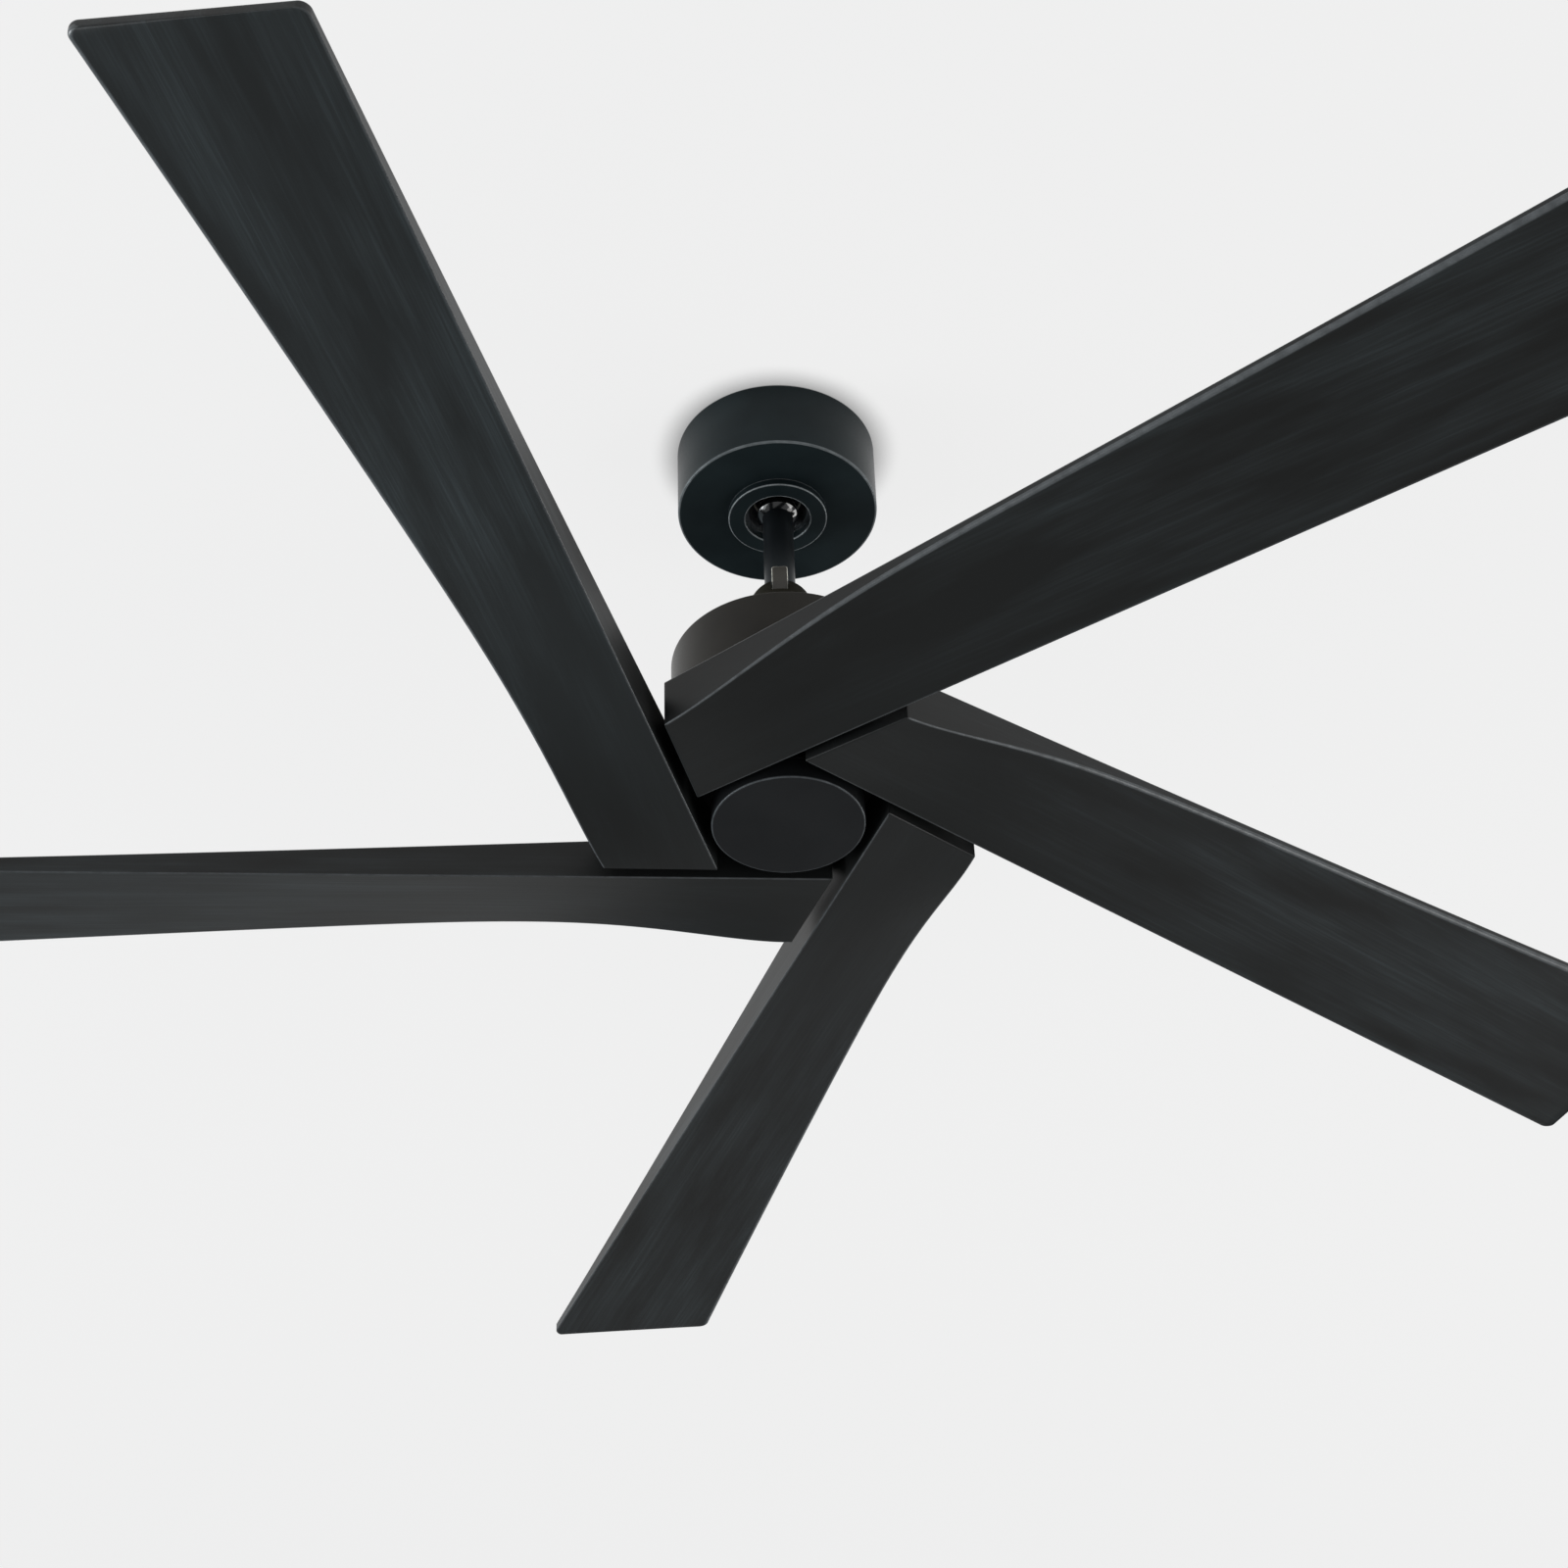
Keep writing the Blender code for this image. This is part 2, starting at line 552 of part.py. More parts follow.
def make_bracket():
    """Steel hanger: a U of two legs and a web with the ball socket, under a flat top plate."""
    leg_out = BRACKET_LEG_OFFSET + BRACKET_THICKNESS
    plate_mid = -BRACKET_THICKNESS / 2
    block = box_mesh((2 * leg_out, BRACKET_LEG_WIDTH, plate_mid - WEB_LOW_Z))
    bracket = add_part("hanger_bracket", block, "zinc_steel")
    block.transform(Matrix.Translation((0.0, 0.0, (plate_mid + WEB_LOW_Z) / 2)))
    opening = box_mesh((2 * BRACKET_LEG_OFFSET, BRACKET_LEG_WIDTH + 2 * CUT_OVERRUN, CANOPY_HEIGHT))
    cut(bracket, opening, (0.0, 0.0, WEB_TOP_Z + CANOPY_HEIGHT / 2))
    join(bracket, box_mesh((BRACKET_LENGTH, BRACKET_WIDTH, BRACKET_THICKNESS)), (0.0, 0.0, plate_mid))
    add_socket(bracket)
    cut_plate_holes(bracket)


def add_socket(bracket):
    """A boss on the web, hollowed to a spherical seat above a flared mouth, and open to one side."""
    low = SOCKET_LOW_ANGLE - math.pi / 2
    high = SOCKET_HIGH_ANGLE - math.pi / 2
    seat = arc(0.0, -BALL_DROP, SOCKET_RADIUS, high, low, SEAT_POINTS)
    seat_top_r, seat_top_z = seat[0]
    boss_low = (WEB_LOW_Z + WEB_TOP_Z) / 2
    boss = cylinder_mesh(SOCKET_OUTER_RADIUS, seat_top_z - boss_low, TURN_STEPS)
    join(bracket, boss, (0.0, 0.0, (seat_top_z + boss_low) / 2))
    below = WEB_LOW_Z - CUT_OVERRUN
    room = [
        (0.0, seat_top_z + CUT_OVERRUN), (seat_top_r, seat_top_z + CUT_OVERRUN), *seat,
        (SOCKET_MOUTH_RADIUS, WEB_LOW_Z), (SOCKET_MOUTH_RADIUS, below), (0.0, below),
    ]
    cut(bracket, turned_mesh(room, TURN_STEPS, closed=False), (0.0, 0.0, 0.0))
    reach = BRACKET_WIDTH / 2 + SOCKET_WALL + CUT_OVERRUN
    entry_top = seat_top_z + 2 * CUT_OVERRUN
    entry = box_mesh((ROD_ENTRY_WIDTH, reach, CANOPY_HEIGHT))
    cut(bracket, entry, (0.0, reach / 2, entry_top - CANOPY_HEIGHT / 2))
    for angle in CANOPY_SCREW_ANGLES:
        spot = round_spot(CANOPY_SCREW_CIRCLE, angle, boss_low)
        drill(bracket, CANOPY_SCREW_RADIUS + FIT_GAP, BRACKET_THICKNESS, spot)


def cut_plate_holes(bracket):
    """Two pairs of screw slots and two wire holes in the top plate."""
    mid = -BRACKET_THICKNESS / 2
    for side in (-1, 1):
        wire_hole = cylinder_mesh(WIRE_HOLE_RADIUS, BRACKET_THICKNESS + 2 * CUT_OVERRUN, SMALL_STEPS)
        cut(bracket, wire_hole, (0.0, side * WIRE_HOLE_OFFSET, mid))
        for across in (-1, 1):
            slot = plate_mesh([slot_outline()], BRACKET_THICKNESS + 2 * CUT_OVERRUN)
            cut(bracket, slot, (side * BRACKET_SLOT_SPACING / 2, across * BRACKET_SLOT_SIDE, mid))


def slot_outline():
    """A slot with round ends, long in Y."""
    reach = BRACKET_SLOT_TRAVEL / 2
    top = arc(0.0, reach, BRACKET_SLOT_RADIUS, 0.0, math.pi, SLOT_END_POINTS)
    bottom = arc(0.0, -reach, BRACKET_SLOT_RADIUS, math.pi, math.tau, SLOT_END_POINTS)
    return top + bottom


def make_canopy():
    """Open-topped round shell with a softened lower edge."""
    inner = CANOPY_RADIUS - CANOPY_WALL
    top = -CANOPY_CEILING_GAP
    bend = arc(
        CANOPY_RADIUS - CANOPY_EDGE_RADIUS, -CANOPY_HEIGHT + CANOPY_EDGE_RADIUS,
        CANOPY_EDGE_RADIUS, 0.0, -math.pi / 2, BEND_POINTS,
    )
    outline = [
        (inner, top), (CANOPY_RADIUS, top), *bend,
        (CANOPY_HOLE_RADIUS, -CANOPY_HEIGHT), (CANOPY_HOLE_RADIUS, CANOPY_FLOOR_Z),
        (inner, CANOPY_FLOOR_Z),
    ]
    canopy = turned("canopy", outline, "black_coat", FINE_STEPS)
    for angle in CANOPY_SCREW_ANGLES:
        spot = round_spot(CANOPY_SCREW_CIRCLE, angle, CANOPY_FLOOR_Z - CANOPY_WALL / 2)
        drill(canopy, CANOPY_SCREW_RADIUS + FIT_GAP, CANOPY_WALL, spot)


def make_canopy_ring():
    """Channel-shaped ring that hides the canopy screws and lines the hole."""
    edge = RING_EDGE_CHAMFER
    seat = -CANOPY_HEIGHT - FIT_GAP
    floor = RING_LOW_Z + RING_WALL
    sleeve = RING_HOLE_RADIUS + RING_WALL
    outline = [
        (RING_RADIUS - RING_WALL, seat), (RING_RADIUS, seat), (RING_RADIUS, RING_LOW_Z + edge),
        (RING_RADIUS - edge, RING_LOW_Z), (RING_HOLE_RADIUS + edge, RING_LOW_Z),
        (RING_HOLE_RADIUS, RING_LOW_Z + edge), (RING_HOLE_RADIUS, CANOPY_FLOOR_Z),
        (sleeve, CANOPY_FLOOR_Z), (sleeve, floor), (RING_RADIUS - RING_WALL, floor),
    ]
    turned("canopy_ring", outline, "black_coat", FINE_STEPS)


def make_canopy_screws():
    mesh = screw_mesh(
        CANOPY_SCREW_HEAD_RADIUS, CANOPY_SCREW_HEAD_HEIGHT, CANOPY_SCREW_RADIUS, CANOPY_SCREW_LENGTH,
    )
    for number, angle in enumerate(CANOPY_SCREW_ANGLES, 1):
        place = round_spot(CANOPY_SCREW_CIRCLE, angle, -CANOPY_HEIGHT - FIT_GAP)
        add_part(f"canopy_screw_{number}", mesh, "bare_steel", place, (math.pi, 0.0, 0.0))


def make_ball():
    """Hanger ball: bored for the rod, flat on top, with a slot that holds the pin."""
    low_angle = -math.acos(BALL_BORE_RADIUS / BALL_RADIUS)
    high_angle = math.asin(BALL_TOP_FLAT / BALL_RADIUS)
    skin = arc(0.0, 0.0, BALL_RADIUS, high_angle, low_angle, BALL_POINTS)
    outline = [(BALL_BORE_RADIUS, BALL_TOP_FLAT), *skin]
    ball = turned("hanger_ball", outline, "gloss_black", TURN_STEPS, base_z=-BALL_DROP)
    slot_width = 2 * (BALL_PIN_RADIUS + FIT_GAP)
    slot = box_mesh((2 * BALL_RADIUS, slot_width, BALL_SLOT_DEPTH + CUT_OVERRUN))
    cut(ball, slot, (0.0, 0.0, BALL_TOP_FLAT - (BALL_SLOT_DEPTH - CUT_OVERRUN) / 2))
    side = (0.0, BALL_RADIUS, -BALL_SCREW_DROP)
    drill(ball, BALL_SCREW_RADIUS + FIT_GAP, BALL_RADIUS - 2 * CUT_OVERRUN, side, ALONG_Y)


def make_ball_hardware():
    pin = cylinder_mesh(BALL_PIN_RADIUS, BALL_PIN_LENGTH, SCREW_STEPS)
    add_part("ball_pin", pin, "bare_steel", (0.0, 0.0, BALL_PIN_Z), ALONG_X)
    screw = cylinder_mesh(BALL_SCREW_RADIUS, BALL_SCREW_LENGTH, SCREW_STEPS)
    reach = BALL_BORE_RADIUS + BALL_SCREW_LENGTH / 2
    add_part("ball_set_screw", screw, "bare_steel", (0.0, reach, -BALL_DROP - BALL_SCREW_DROP), ALONG_Y)


def make_liner():
    """Thin spherical liner between the ball and its socket."""
    inner = BALL_RADIUS + FIT_GAP
    low = LINER_LOW_ANGLE - math.pi / 2
    high = LINER_HIGH_ANGLE - math.pi / 2
    outside = arc(0.0, 0.0, inner + LINER_THICKNESS, high, low, SEAT_POINTS)
    inside = arc(0.0, 0.0, inner, low, high, SEAT_POINTS)
    turned("socket_liner", outside + inside, "white_nylon", TURN_STEPS, base_z=-BALL_DROP)


def make_down_rod():
    """Pipe with a cross hole at each end."""
    outline = ring_outline(ROD_RADIUS - ROD_WALL, ROD_RADIUS, height(ROD_END_H), ROD_TOP_RISE - BALL_DROP)
    rod = turned("down_rod", outline, "black_coat", TURN_STEPS)
    drill(rod, BALL_PIN_RADIUS + FIT_GAP, 2 * ROD_RADIUS, (0.0, 0.0, BALL_PIN_Z), ALONG_X)
    drill(rod, CLEVIS_RADIUS + FIT_GAP, 2 * ROD_RADIUS, (0.0, 0.0, height(CLEVIS_H)), ALONG_X)


def make_receiver():
    """Remote receiver lying on the canopy's floor."""
    box = box_mesh((RECEIVER_LENGTH, RECEIVER_WIDTH, RECEIVER_HEIGHT))
    place = (0.0, -RECEIVER_OFFSET, CANOPY_FLOOR_Z + FIT_GAP + RECEIVER_HEIGHT / 2)
    receiver = add_part("receiver_module", box, "black_plastic", place)
    edges = receiver.modifiers.new("edges", "BEVEL")
    edges.width = RECEIVER_EDGE_RADIUS
    edges.segments = 1


def make_coupling():
    """Cast coupling: flange, collar round the rod, and two upright ears."""
    bore = ROD_RADIUS + FIT_GAP
    ledge = ROD_END_H - FIT_GAP
    outline = [
        (bore, COLLAR_TOP_H), (COLLAR_RADIUS, COLLAR_TOP_H), (COLLAR_RADIUS, COUPLING_SEAT_H),
        (COUPLING_FLANGE_RADIUS, COUPLING_SEAT_H), (COUPLING_FLANGE_RADIUS, COUPLING_LOW_H),
        (SHAFT_HOLE_RADIUS, COUPLING_LOW_H), (SHAFT_HOLE_RADIUS, ledge), (bore, ledge),
    ]
    coupling = turned("motor_coupling", outline, "cast_aluminium", TURN_STEPS, base_z=height(0.0))
    for side in (-1, 1):
        ear_middle = side * (EAR_OFFSET + EAR_THICKNESS / 2)
        join(coupling, plate_mesh([ear_outline()], EAR_THICKNESS), (0.0, ear_middle, 0.0), ALONG_Y)
    drill(coupling, CLEVIS_RADIUS + FIT_GAP, 2 * COLLAR_RADIUS, (0.0, 0.0, CLEVIS_H), ALONG_X)
    drill(coupling, SET_SCREW_RADIUS + FIT_GAP, 2 * COLLAR_RADIUS, (0.0, 0.0, SET_SCREW_H), ALONG_X)
    drill_for_coupling_screws(coupling, COUPLING_LOW_H, COUPLING_SEAT_H)


def drill_for_coupling_screws(part, low_h, top_h):
    for angle in coupling_screw_angles():
        spot = round_spot(COUPLING_SCREW_CIRCLE, angle, (low_h + top_h) / 2)
        drill(part, COUPLING_SCREW_RADIUS + FIT_GAP, top_h - low_h, spot)


def ear_outline():
    """Upright strip from inside the collar to the ear's rounded top."""
    half = EAR_WIDTH / 2
    corner = EAR_CORNER_RADIUS
    low = COLLAR_TOP_H - COLLAR_WALL
    right = arc(half - corner, EAR_TOP_H - corner, corner, 0.0, math.pi / 2, BEND_POINTS)
    left = arc(corner - half, EAR_TOP_H - corner, corner, math.pi / 2, math.pi, BEND_POINTS)
    return [(half, low), *right, *left, (-half, low)]


def coupling_screw_angles():
    return [math.tau * i / COUPLING_SCREW_COUNT for i in range(COUPLING_SCREW_COUNT)]


def make_coupling_hardware():
    """Clevis pin, hairpin clip, set screws and flange screws."""
    pin_seat = COLLAR_RADIUS + FIT_GAP
    pin = screw_mesh(CLEVIS_HEAD_RADIUS, CLEVIS_HEAD_THICKNESS, CLEVIS_RADIUS, CLEVIS_LENGTH)
    pin_place = (-pin_seat, 0.0, height(CLEVIS_H))
    clevis = add_part("clevis_pin", pin, "bare_steel", pin_place, (0.0, -math.pi / 2, 0.0))
    clip_spot = (0.0, 0.0, CLIP_INSET - CLEVIS_LENGTH)
    drill(clevis, CLIP_WIRE_RADIUS + FIT_GAP, 2 * CLEVIS_RADIUS, clip_spot, ALONG_Y)
    make_clip(CLEVIS_LENGTH - CLIP_INSET - pin_seat)
    set_screw = cylinder_mesh(SET_SCREW_RADIUS, SET_SCREW_LENGTH, SCREW_STEPS)
    reach = ROD_RADIUS + FIT_GAP + SET_SCREW_LENGTH / 2
    for number, side in enumerate((-1, 1), 1):
        place = (side * reach, 0.0, height(SET_SCREW_H))
        add_part(f"coupling_set_screw_{number}", set_screw, "bare_steel", place, ALONG_X)
    screw = screw_mesh(
        COUPLING_SCREW_HEAD_RADIUS, COUPLING_SCREW_HEAD_HEIGHT,
        COUPLING_SCREW_RADIUS, COUPLING_SCREW_LENGTH,
    )
    for number, angle in enumerate(coupling_screw_angles(), 1):
        place = round_spot(COUPLING_SCREW_CIRCLE, angle, height(COUPLING_SEAT_H + FIT_GAP))
        add_part(f"coupling_screw_{number}", screw, "bare_steel", place)


def make_clip(through):
    """Hairpin clip: a straight leg through the clevis pin, and a leg bent back past the pin's side."""
    wire = bpy.data.curves.new("wire", "CURVE")
    wire.dimensions = "3D"
    wire.bevel_depth = CLIP_WIRE_RADIUS
    wire.bevel_resolution = 1
    wire.use_fill_caps = True
    clear = CLEVIS_RADIUS + CLIP_WIRE_RADIUS + FIT_GAP
    path = [
        (-CLIP_LEG, 0.0), (CLIP_LEG, 0.0), (CLIP_LEG + CLIP_BOW, clear / 2),
        (CLIP_LEG, clear), (-CLIP_BOW, clear),
    ]
    spline = wire.splines.new("POLY")
    spline.points.add(len(path) - 1)
    for point, (y, z) in zip(spline.points, path):
        point.co = (0.0, y, z, 1.0)
    helper = bpy.data.objects.new("helper", wire)
    bpy.context.scene.collection.objects.link(helper)
    add_part("hairpin_clip", finished_mesh(helper), "bare_steel", (through, 0.0, height(CLEVIS_H)))


def make_coupling_cover():
    """Dome over the coupling on a flared skirt of even thickness, notched for the ears."""
    hole_radius = ROD_RADIUS + COVER_HOLE_CLEARANCE
    outer = cover_side(hole_radius, DOME_RADIUS, COUPLING_LOW_H + COVER_WALL)
    inner = cover_side(hole_radius, DOME_RADIUS - COVER_WALL, COUPLING_LOW_H)
    cover = turned(
        "coupling_cover", outer + inner[::-1], "black_coat", TURN_STEPS, base_z=height(0.0),
    )
    width = EAR_WIDTH + 2 * COVER_NOTCH_CLEARANCE
    notch = box_mesh((width, 2 * (DOME_RADIUS + CUT_OVERRUN), COVER_NOTCH_DEPTH + CUT_OVERRUN))
    notch_low = DOME_CENTRE_H + DOME_RADIUS - COVER_NOTCH_DEPTH
    cut(cover, notch, (0.0, 0.0, notch_low + (COVER_NOTCH_DEPTH + CUT_OVERRUN) / 2))


def cover_side(hole_radius, dome_radius, foot_h):
    """One side of the cover's wall: an arc, then a quarter ellipse out to the foot."""
    dome = arc(0.0, DOME_CENTRE_H, dome_radius, math.acos(hole_radius / dome_radius), 0.0, SEAT_POINTS)
    turns = np.linspace(0.0, math.pi / 2, FLARE_POINTS)[1:]
    return dome + [
        (
            COVER_BASE_RADIUS - (COVER_BASE_RADIUS - dome_radius) * math.cos(a),
            DOME_CENTRE_H - (DOME_CENTRE_H - foot_h) * math.sin(a),
        )
        for a in turns
    ]


def make_housing():
    """Round motor housing, open below, with a softened top edge."""
    edge = HOUSING_EDGE_RADIUS
    inner = HOUSING_RADIUS - HOUSING_WALL
    bend = arc(HOUSING_RADIUS - edge, HOUSING_TOP_H - edge, edge, math.pi / 2, 0.0, BEND_POINTS)
    outline = [
        (SHAFT_HOLE_RADIUS, HOUSING_TOP_H), *bend, (HOUSING_RADIUS, HOUSING_LOW_H), (inner, HOUSING_LOW_H),
        (inner, HOUSING_INNER_TOP_H), (SHAFT_HOLE_RADIUS, HOUSING_INNER_TOP_H),
    ]
    housing = turned("motor_housing", outline, "black_coat", FINE_STEPS, base_z=height(0.0))
    drill_for_coupling_screws(housing, HOUSING_INNER_TOP_H, HOUSING_TOP_H)


def make_shaft():
    """Hollow stator shaft: flange under the housing's top, ring groove, threaded end."""
    groove_low = LOWER_BEARING_H - GROOVE_WIDTH
    groove = SHAFT_RADIUS - GROOVE_DEPTH
    top = ROD_END_H - 2 * FIT_GAP
    outline = [
        (SHAFT_BORE_RADIUS, top), (SHAFT_RADIUS, top), (SHAFT_RADIUS, SHAFT_FLANGE_TOP_H),
        (SHAFT_FLANGE_RADIUS, SHAFT_FLANGE_TOP_H), (SHAFT_FLANGE_RADIUS, SHAFT_FLANGE_LOW_H),
        (SHAFT_RADIUS, SHAFT_FLANGE_LOW_H), (SHAFT_RADIUS, LOWER_BEARING_H), (groove, LOWER_BEARING_H),
        (groove, groove_low), (SHAFT_RADIUS, groove_low), (SHAFT_RADIUS, SHAFT_SHOULDER_H),
        (SHAFT_THREAD_RADIUS, SHAFT_SHOULDER_H), (SHAFT_THREAD_RADIUS, SHAFT_END_H),
        (SHAFT_BORE_RADIUS, SHAFT_END_H),
    ]
    shaft = turned("stator_shaft", outline, "bare_steel", SMALL_STEPS, base_z=height(0.0))
    drill_for_coupling_screws(shaft, SHAFT_FLANGE_LOW_H, SHAFT_FLANGE_TOP_H)


def make_retaining_ring():
    """Open ring in the shaft's groove, under the lower bearing."""
    inner = SHAFT_RADIUS - GROOVE_DEPTH + FIT_GAP
    outer = inner + RETAINER_WIDTH
    top = LOWER_BEARING_H - FIT_GAP
    outline = ring_outline(inner, outer, top - RETAINER_THICKNESS, top)
    ring = turned("retaining_ring", outline, "bare_steel", SMALL_STEPS, base_z=height(0.0))
    opening = box_mesh((2 * outer, RETAINER_OPENING, RETAINER_THICKNESS + 2 * CUT_OVERRUN))
    cut(ring, opening, (outer, 0.0, top - RETAINER_THICKNESS / 2))


def make_driver_board():
    """Flat ring of circuit board under the shaft's flange."""
    low = BOARD_TOP_H - BOARD_THICKNESS
    outline = ring_outline(SHAFT_HOLE_RADIUS, BOARD_RADIUS, low, BOARD_TOP_H)
    turned("driver_board", outline, "board_green", TURN_STEPS, base_z=height(0.0))


def stator_outline(growth):
    """Yoke with straight teeth and widened tips; growth offsets it outwards."""
    points = []
    pitch = math.tau / TOOTH_COUNT
    yoke = STATOR_YOKE_RADIUS + growth
    tip_low = STATOR_RADIUS - TOOTH_TIP_DEPTH - growth
    tip = STATOR_RADIUS + growth
    stem = TOOTH_WIDTH / 2 + growth
    for number in range(TOOTH_COUNT):
        middle = number * pitch
        tip_half = TOOTH_TIP_SHARE * pitch / 2 + growth / STATOR_RADIUS
        spots = [
            (yoke, -math.asin(stem / yoke)), (tip_low, -math.asin(stem / tip_low)),
            (tip_low, -tip_half), (tip, -tip_half), (tip, 0.0), (tip, tip_half), (tip_low, tip_half),
            (tip_low, math.asin(stem / tip_low)), (yoke, math.asin(stem / yoke)),
        ]
        points += [round_spot(radius, middle + turn)[:2] for radius, turn in spots]
    return points


def circle_outline(radius, steps):
    return [round_spot(radius, math.tau * i / steps)[:2] for i in range(steps)]


def make_stator():
    """Toothed core on the shaft, and the winding that fills the room between its teeth."""
    middle = height(STATOR_LOW_H + STATOR_HEIGHT / 2)
    bore = circle_outline(SHAFT_HOLE_RADIUS, SMALL_STEPS)
    core = plate_mesh([stator_outline(0.0), bore], STATOR_HEIGHT)
    add_part("stator_core", core, "core_steel", (0.0, 0.0, middle))
    half = STATOR_HEIGHT / 2 + WINDING_OVERHANG
    outline = ring_outline(
        STATOR_YOKE_RADIUS + WINDING_YOKE_CLEARANCE,
        STATOR_RADIUS - TOOTH_TIP_DEPTH - WINDING_INSET, -half, half,
    )
    winding = turned("stator_winding", outline, "copper_wire", TURN_STEPS, base_z=middle)
    room = plate_mesh([stator_outline(FIT_GAP), bore], STATOR_HEIGHT + 2 * FIT_GAP)
    cut(winding, room, (0.0, 0.0, 0.0))


def make_bearings():
    """Two shielded ball bearings, each with a shallow groove on both faces."""
    inner = SHAFT_HOLE_RADIUS
    outer = BEARING_RADIUS
    race = BEARING_RACE_WIDTH
    dip = BEARING_GROOVE_DEPTH
    top = BEARING_HEIGHT
    outline = [
        (inner, top), (inner + race, top), (inner + race, top - dip), (outer - race, top - dip),
        (outer - race, top), (outer, top), (outer, 0.0), (outer - race, 0.0), (outer - race, dip),
        (inner + race, dip), (inner + race, 0.0), (inner, 0.0),
    ]
    turned("upper_bearing", outline, "bare_steel", SMALL_STEPS, base_z=height(UPPER_BEARING_H))
    turned("lower_bearing", outline, "bare_steel", SMALL_STEPS, base_z=height(LOWER_BEARING_H))


def make_rotor():
    """Magnet ring in a deep upper cover, closed by a lower cover; both covers hold a bearing."""
    make_upper_cover()
    make_lower_cover()
    magnet = ring_outline(
        MAGNET_INNER_RADIUS, MAGNET_OUTER_RADIUS,
        STATOR_LOW_H - MAGNET_OVERHANG, STATOR_LOW_H + STATOR_HEIGHT + MAGNET_OVERHANG,
    )
    turned("magnet_ring", magnet, "ferrite", TURN_STEPS, base_z=height(0.0))
    bolt = screw_mesh(
        ROTOR_BOLT_HEAD_RADIUS, ROTOR_BOLT_HEAD_HEIGHT, ROTOR_BOLT_RADIUS, ROTOR_BOLT_LENGTH,
    )
    for number, angle in enumerate(rotor_bolt_angles(), 1):
        place = round_spot(ROTOR_BOLT_CIRCLE, angle, height(UPPER_FLANGE_TOP_H + FIT_GAP))
        add_part(f"rotor_bolt_{number}", bolt, "bare_steel", place)


def make_upper_cover():
    flange_low = ROTOR_FLANGE_H + FIT_GAP
    disc_low = ROTOR_TOP_H - ROTOR_DISC_THICKNESS
    lip_low = UPPER_BEARING_H + BEARING_HEIGHT + FIT_GAP
    boss_low = UPPER_BEARING_H - FIT_GAP
    outline = [
        (BEARING_LIP_RADIUS, ROTOR_TOP_H), (ROTOR_RADIUS, ROTOR_TOP_H),
        (ROTOR_RADIUS, UPPER_FLANGE_TOP_H), (ROTOR_FLANGE_RADIUS, UPPER_FLANGE_TOP_H),
        (ROTOR_FLANGE_RADIUS, flange_low), (ROTOR_INNER_RADIUS, flange_low),
        (ROTOR_INNER_RADIUS, disc_low), (BEARING_BOSS_RADIUS, disc_low),
        (BEARING_BOSS_RADIUS, boss_low), (BEARING_SEAT_RADIUS, boss_low),
        (BEARING_SEAT_RADIUS, lip_low), (BEARING_LIP_RADIUS, lip_low),
    ]
    cover = turned("rotor_upper_cover", outline, "cast_aluminium", TURN_STEPS, base_z=height(0.0))
    drill_for_rotor_bolts(cover, flange_low, UPPER_FLANGE_TOP_H)


def make_lower_cover():
    lip = LOWER_BEARING_H + BEARING_HEIGHT + FIT_GAP
    outline = [
        (BEARING_LIP_RADIUS, ROTOR_FLANGE_H), (ROTOR_FLANGE_RADIUS, ROTOR_FLANGE_H),
        (ROTOR_FLANGE_RADIUS, LOWER_COVER_LOW_H), (BEARING_BOSS_RADIUS, LOWER_COVER_LOW_H),
        (BEARING_BOSS_RADIUS, LOWER_BEARING_H), (BEARING_SEAT_RADIUS, LOWER_BEARING_H),
        (BEARING_SEAT_RADIUS, lip), (BEARING_LIP_RADIUS, lip),
    ]
    cover = turned("rotor_lower_cover", outline, "cast_aluminium", TURN_STEPS, base_z=height(0.0))
    drill_for_rotor_bolts(cover, LOWER_COVER_LOW_H, ROTOR_FLANGE_H)


def rotor_bolt_angles():
    return [math.tau * i / ROTOR_BOLT_COUNT for i in range(ROTOR_BOLT_COUNT)]


def drill_for_rotor_bolts(part, low_h, top_h):
    for angle in rotor_bolt_angles():
        spot = round_spot(ROTOR_BOLT_CIRCLE, angle, (low_h + top_h) / 2)
        drill(part, ROTOR_BOLT_RADIUS + FIT_GAP, top_h - low_h, spot)


def make_hub():
    """Blade hub: a plate on top of the blade roots, and a wall up to the rotor."""
    edge = HUB_EDGE_CHAMFER
    wall_in = HUB_WALL_OUTER_RADIUS - HUB_WALL_THICKNESS
    outline = [
        (wall_in, HUB_TOP_H), (HUB_WALL_OUTER_RADIUS, HUB_TOP_H), (HUB_WALL_OUTER_RADIUS, HUB_SEAT_H),
        (HUB_RADIUS - edge, HUB_SEAT_H), (HUB_RADIUS, HUB_SEAT_H - edge), (HUB_RADIUS, HUB_LOW_H),
        (HUB_HOLE_RADIUS, HUB_LOW_H), (HUB_HOLE_RADIUS, HUB_SEAT_H), (wall_in, HUB_SEAT_H),
    ]
    hub = turned("blade_hub", outline, "black_coat", FINE_STEPS, base_z=height(0.0))
    drill_for_rotor_bolts(hub, UPPER_FLANGE_TOP_H - ROTOR_BOLT_LENGTH, HUB_TOP_H)
    for angle in blade_angles():
        for across, along in BLADE_SCREW_SPOTS:
            spot = blade_spot(angle, across, along, (HUB_LOW_H + HUB_SEAT_H) / 2)
            drill(hub, BLADE_SCREW_RADIUS + FIT_GAP, HUB_PLATE_THICKNESS, spot)


def blade_spot(angle, across, along, z):
    """A place in a blade's frame, seen from the fan's."""
    return Euler((0.0, 0.0, angle)).to_matrix() @ Vector((across, along, z))


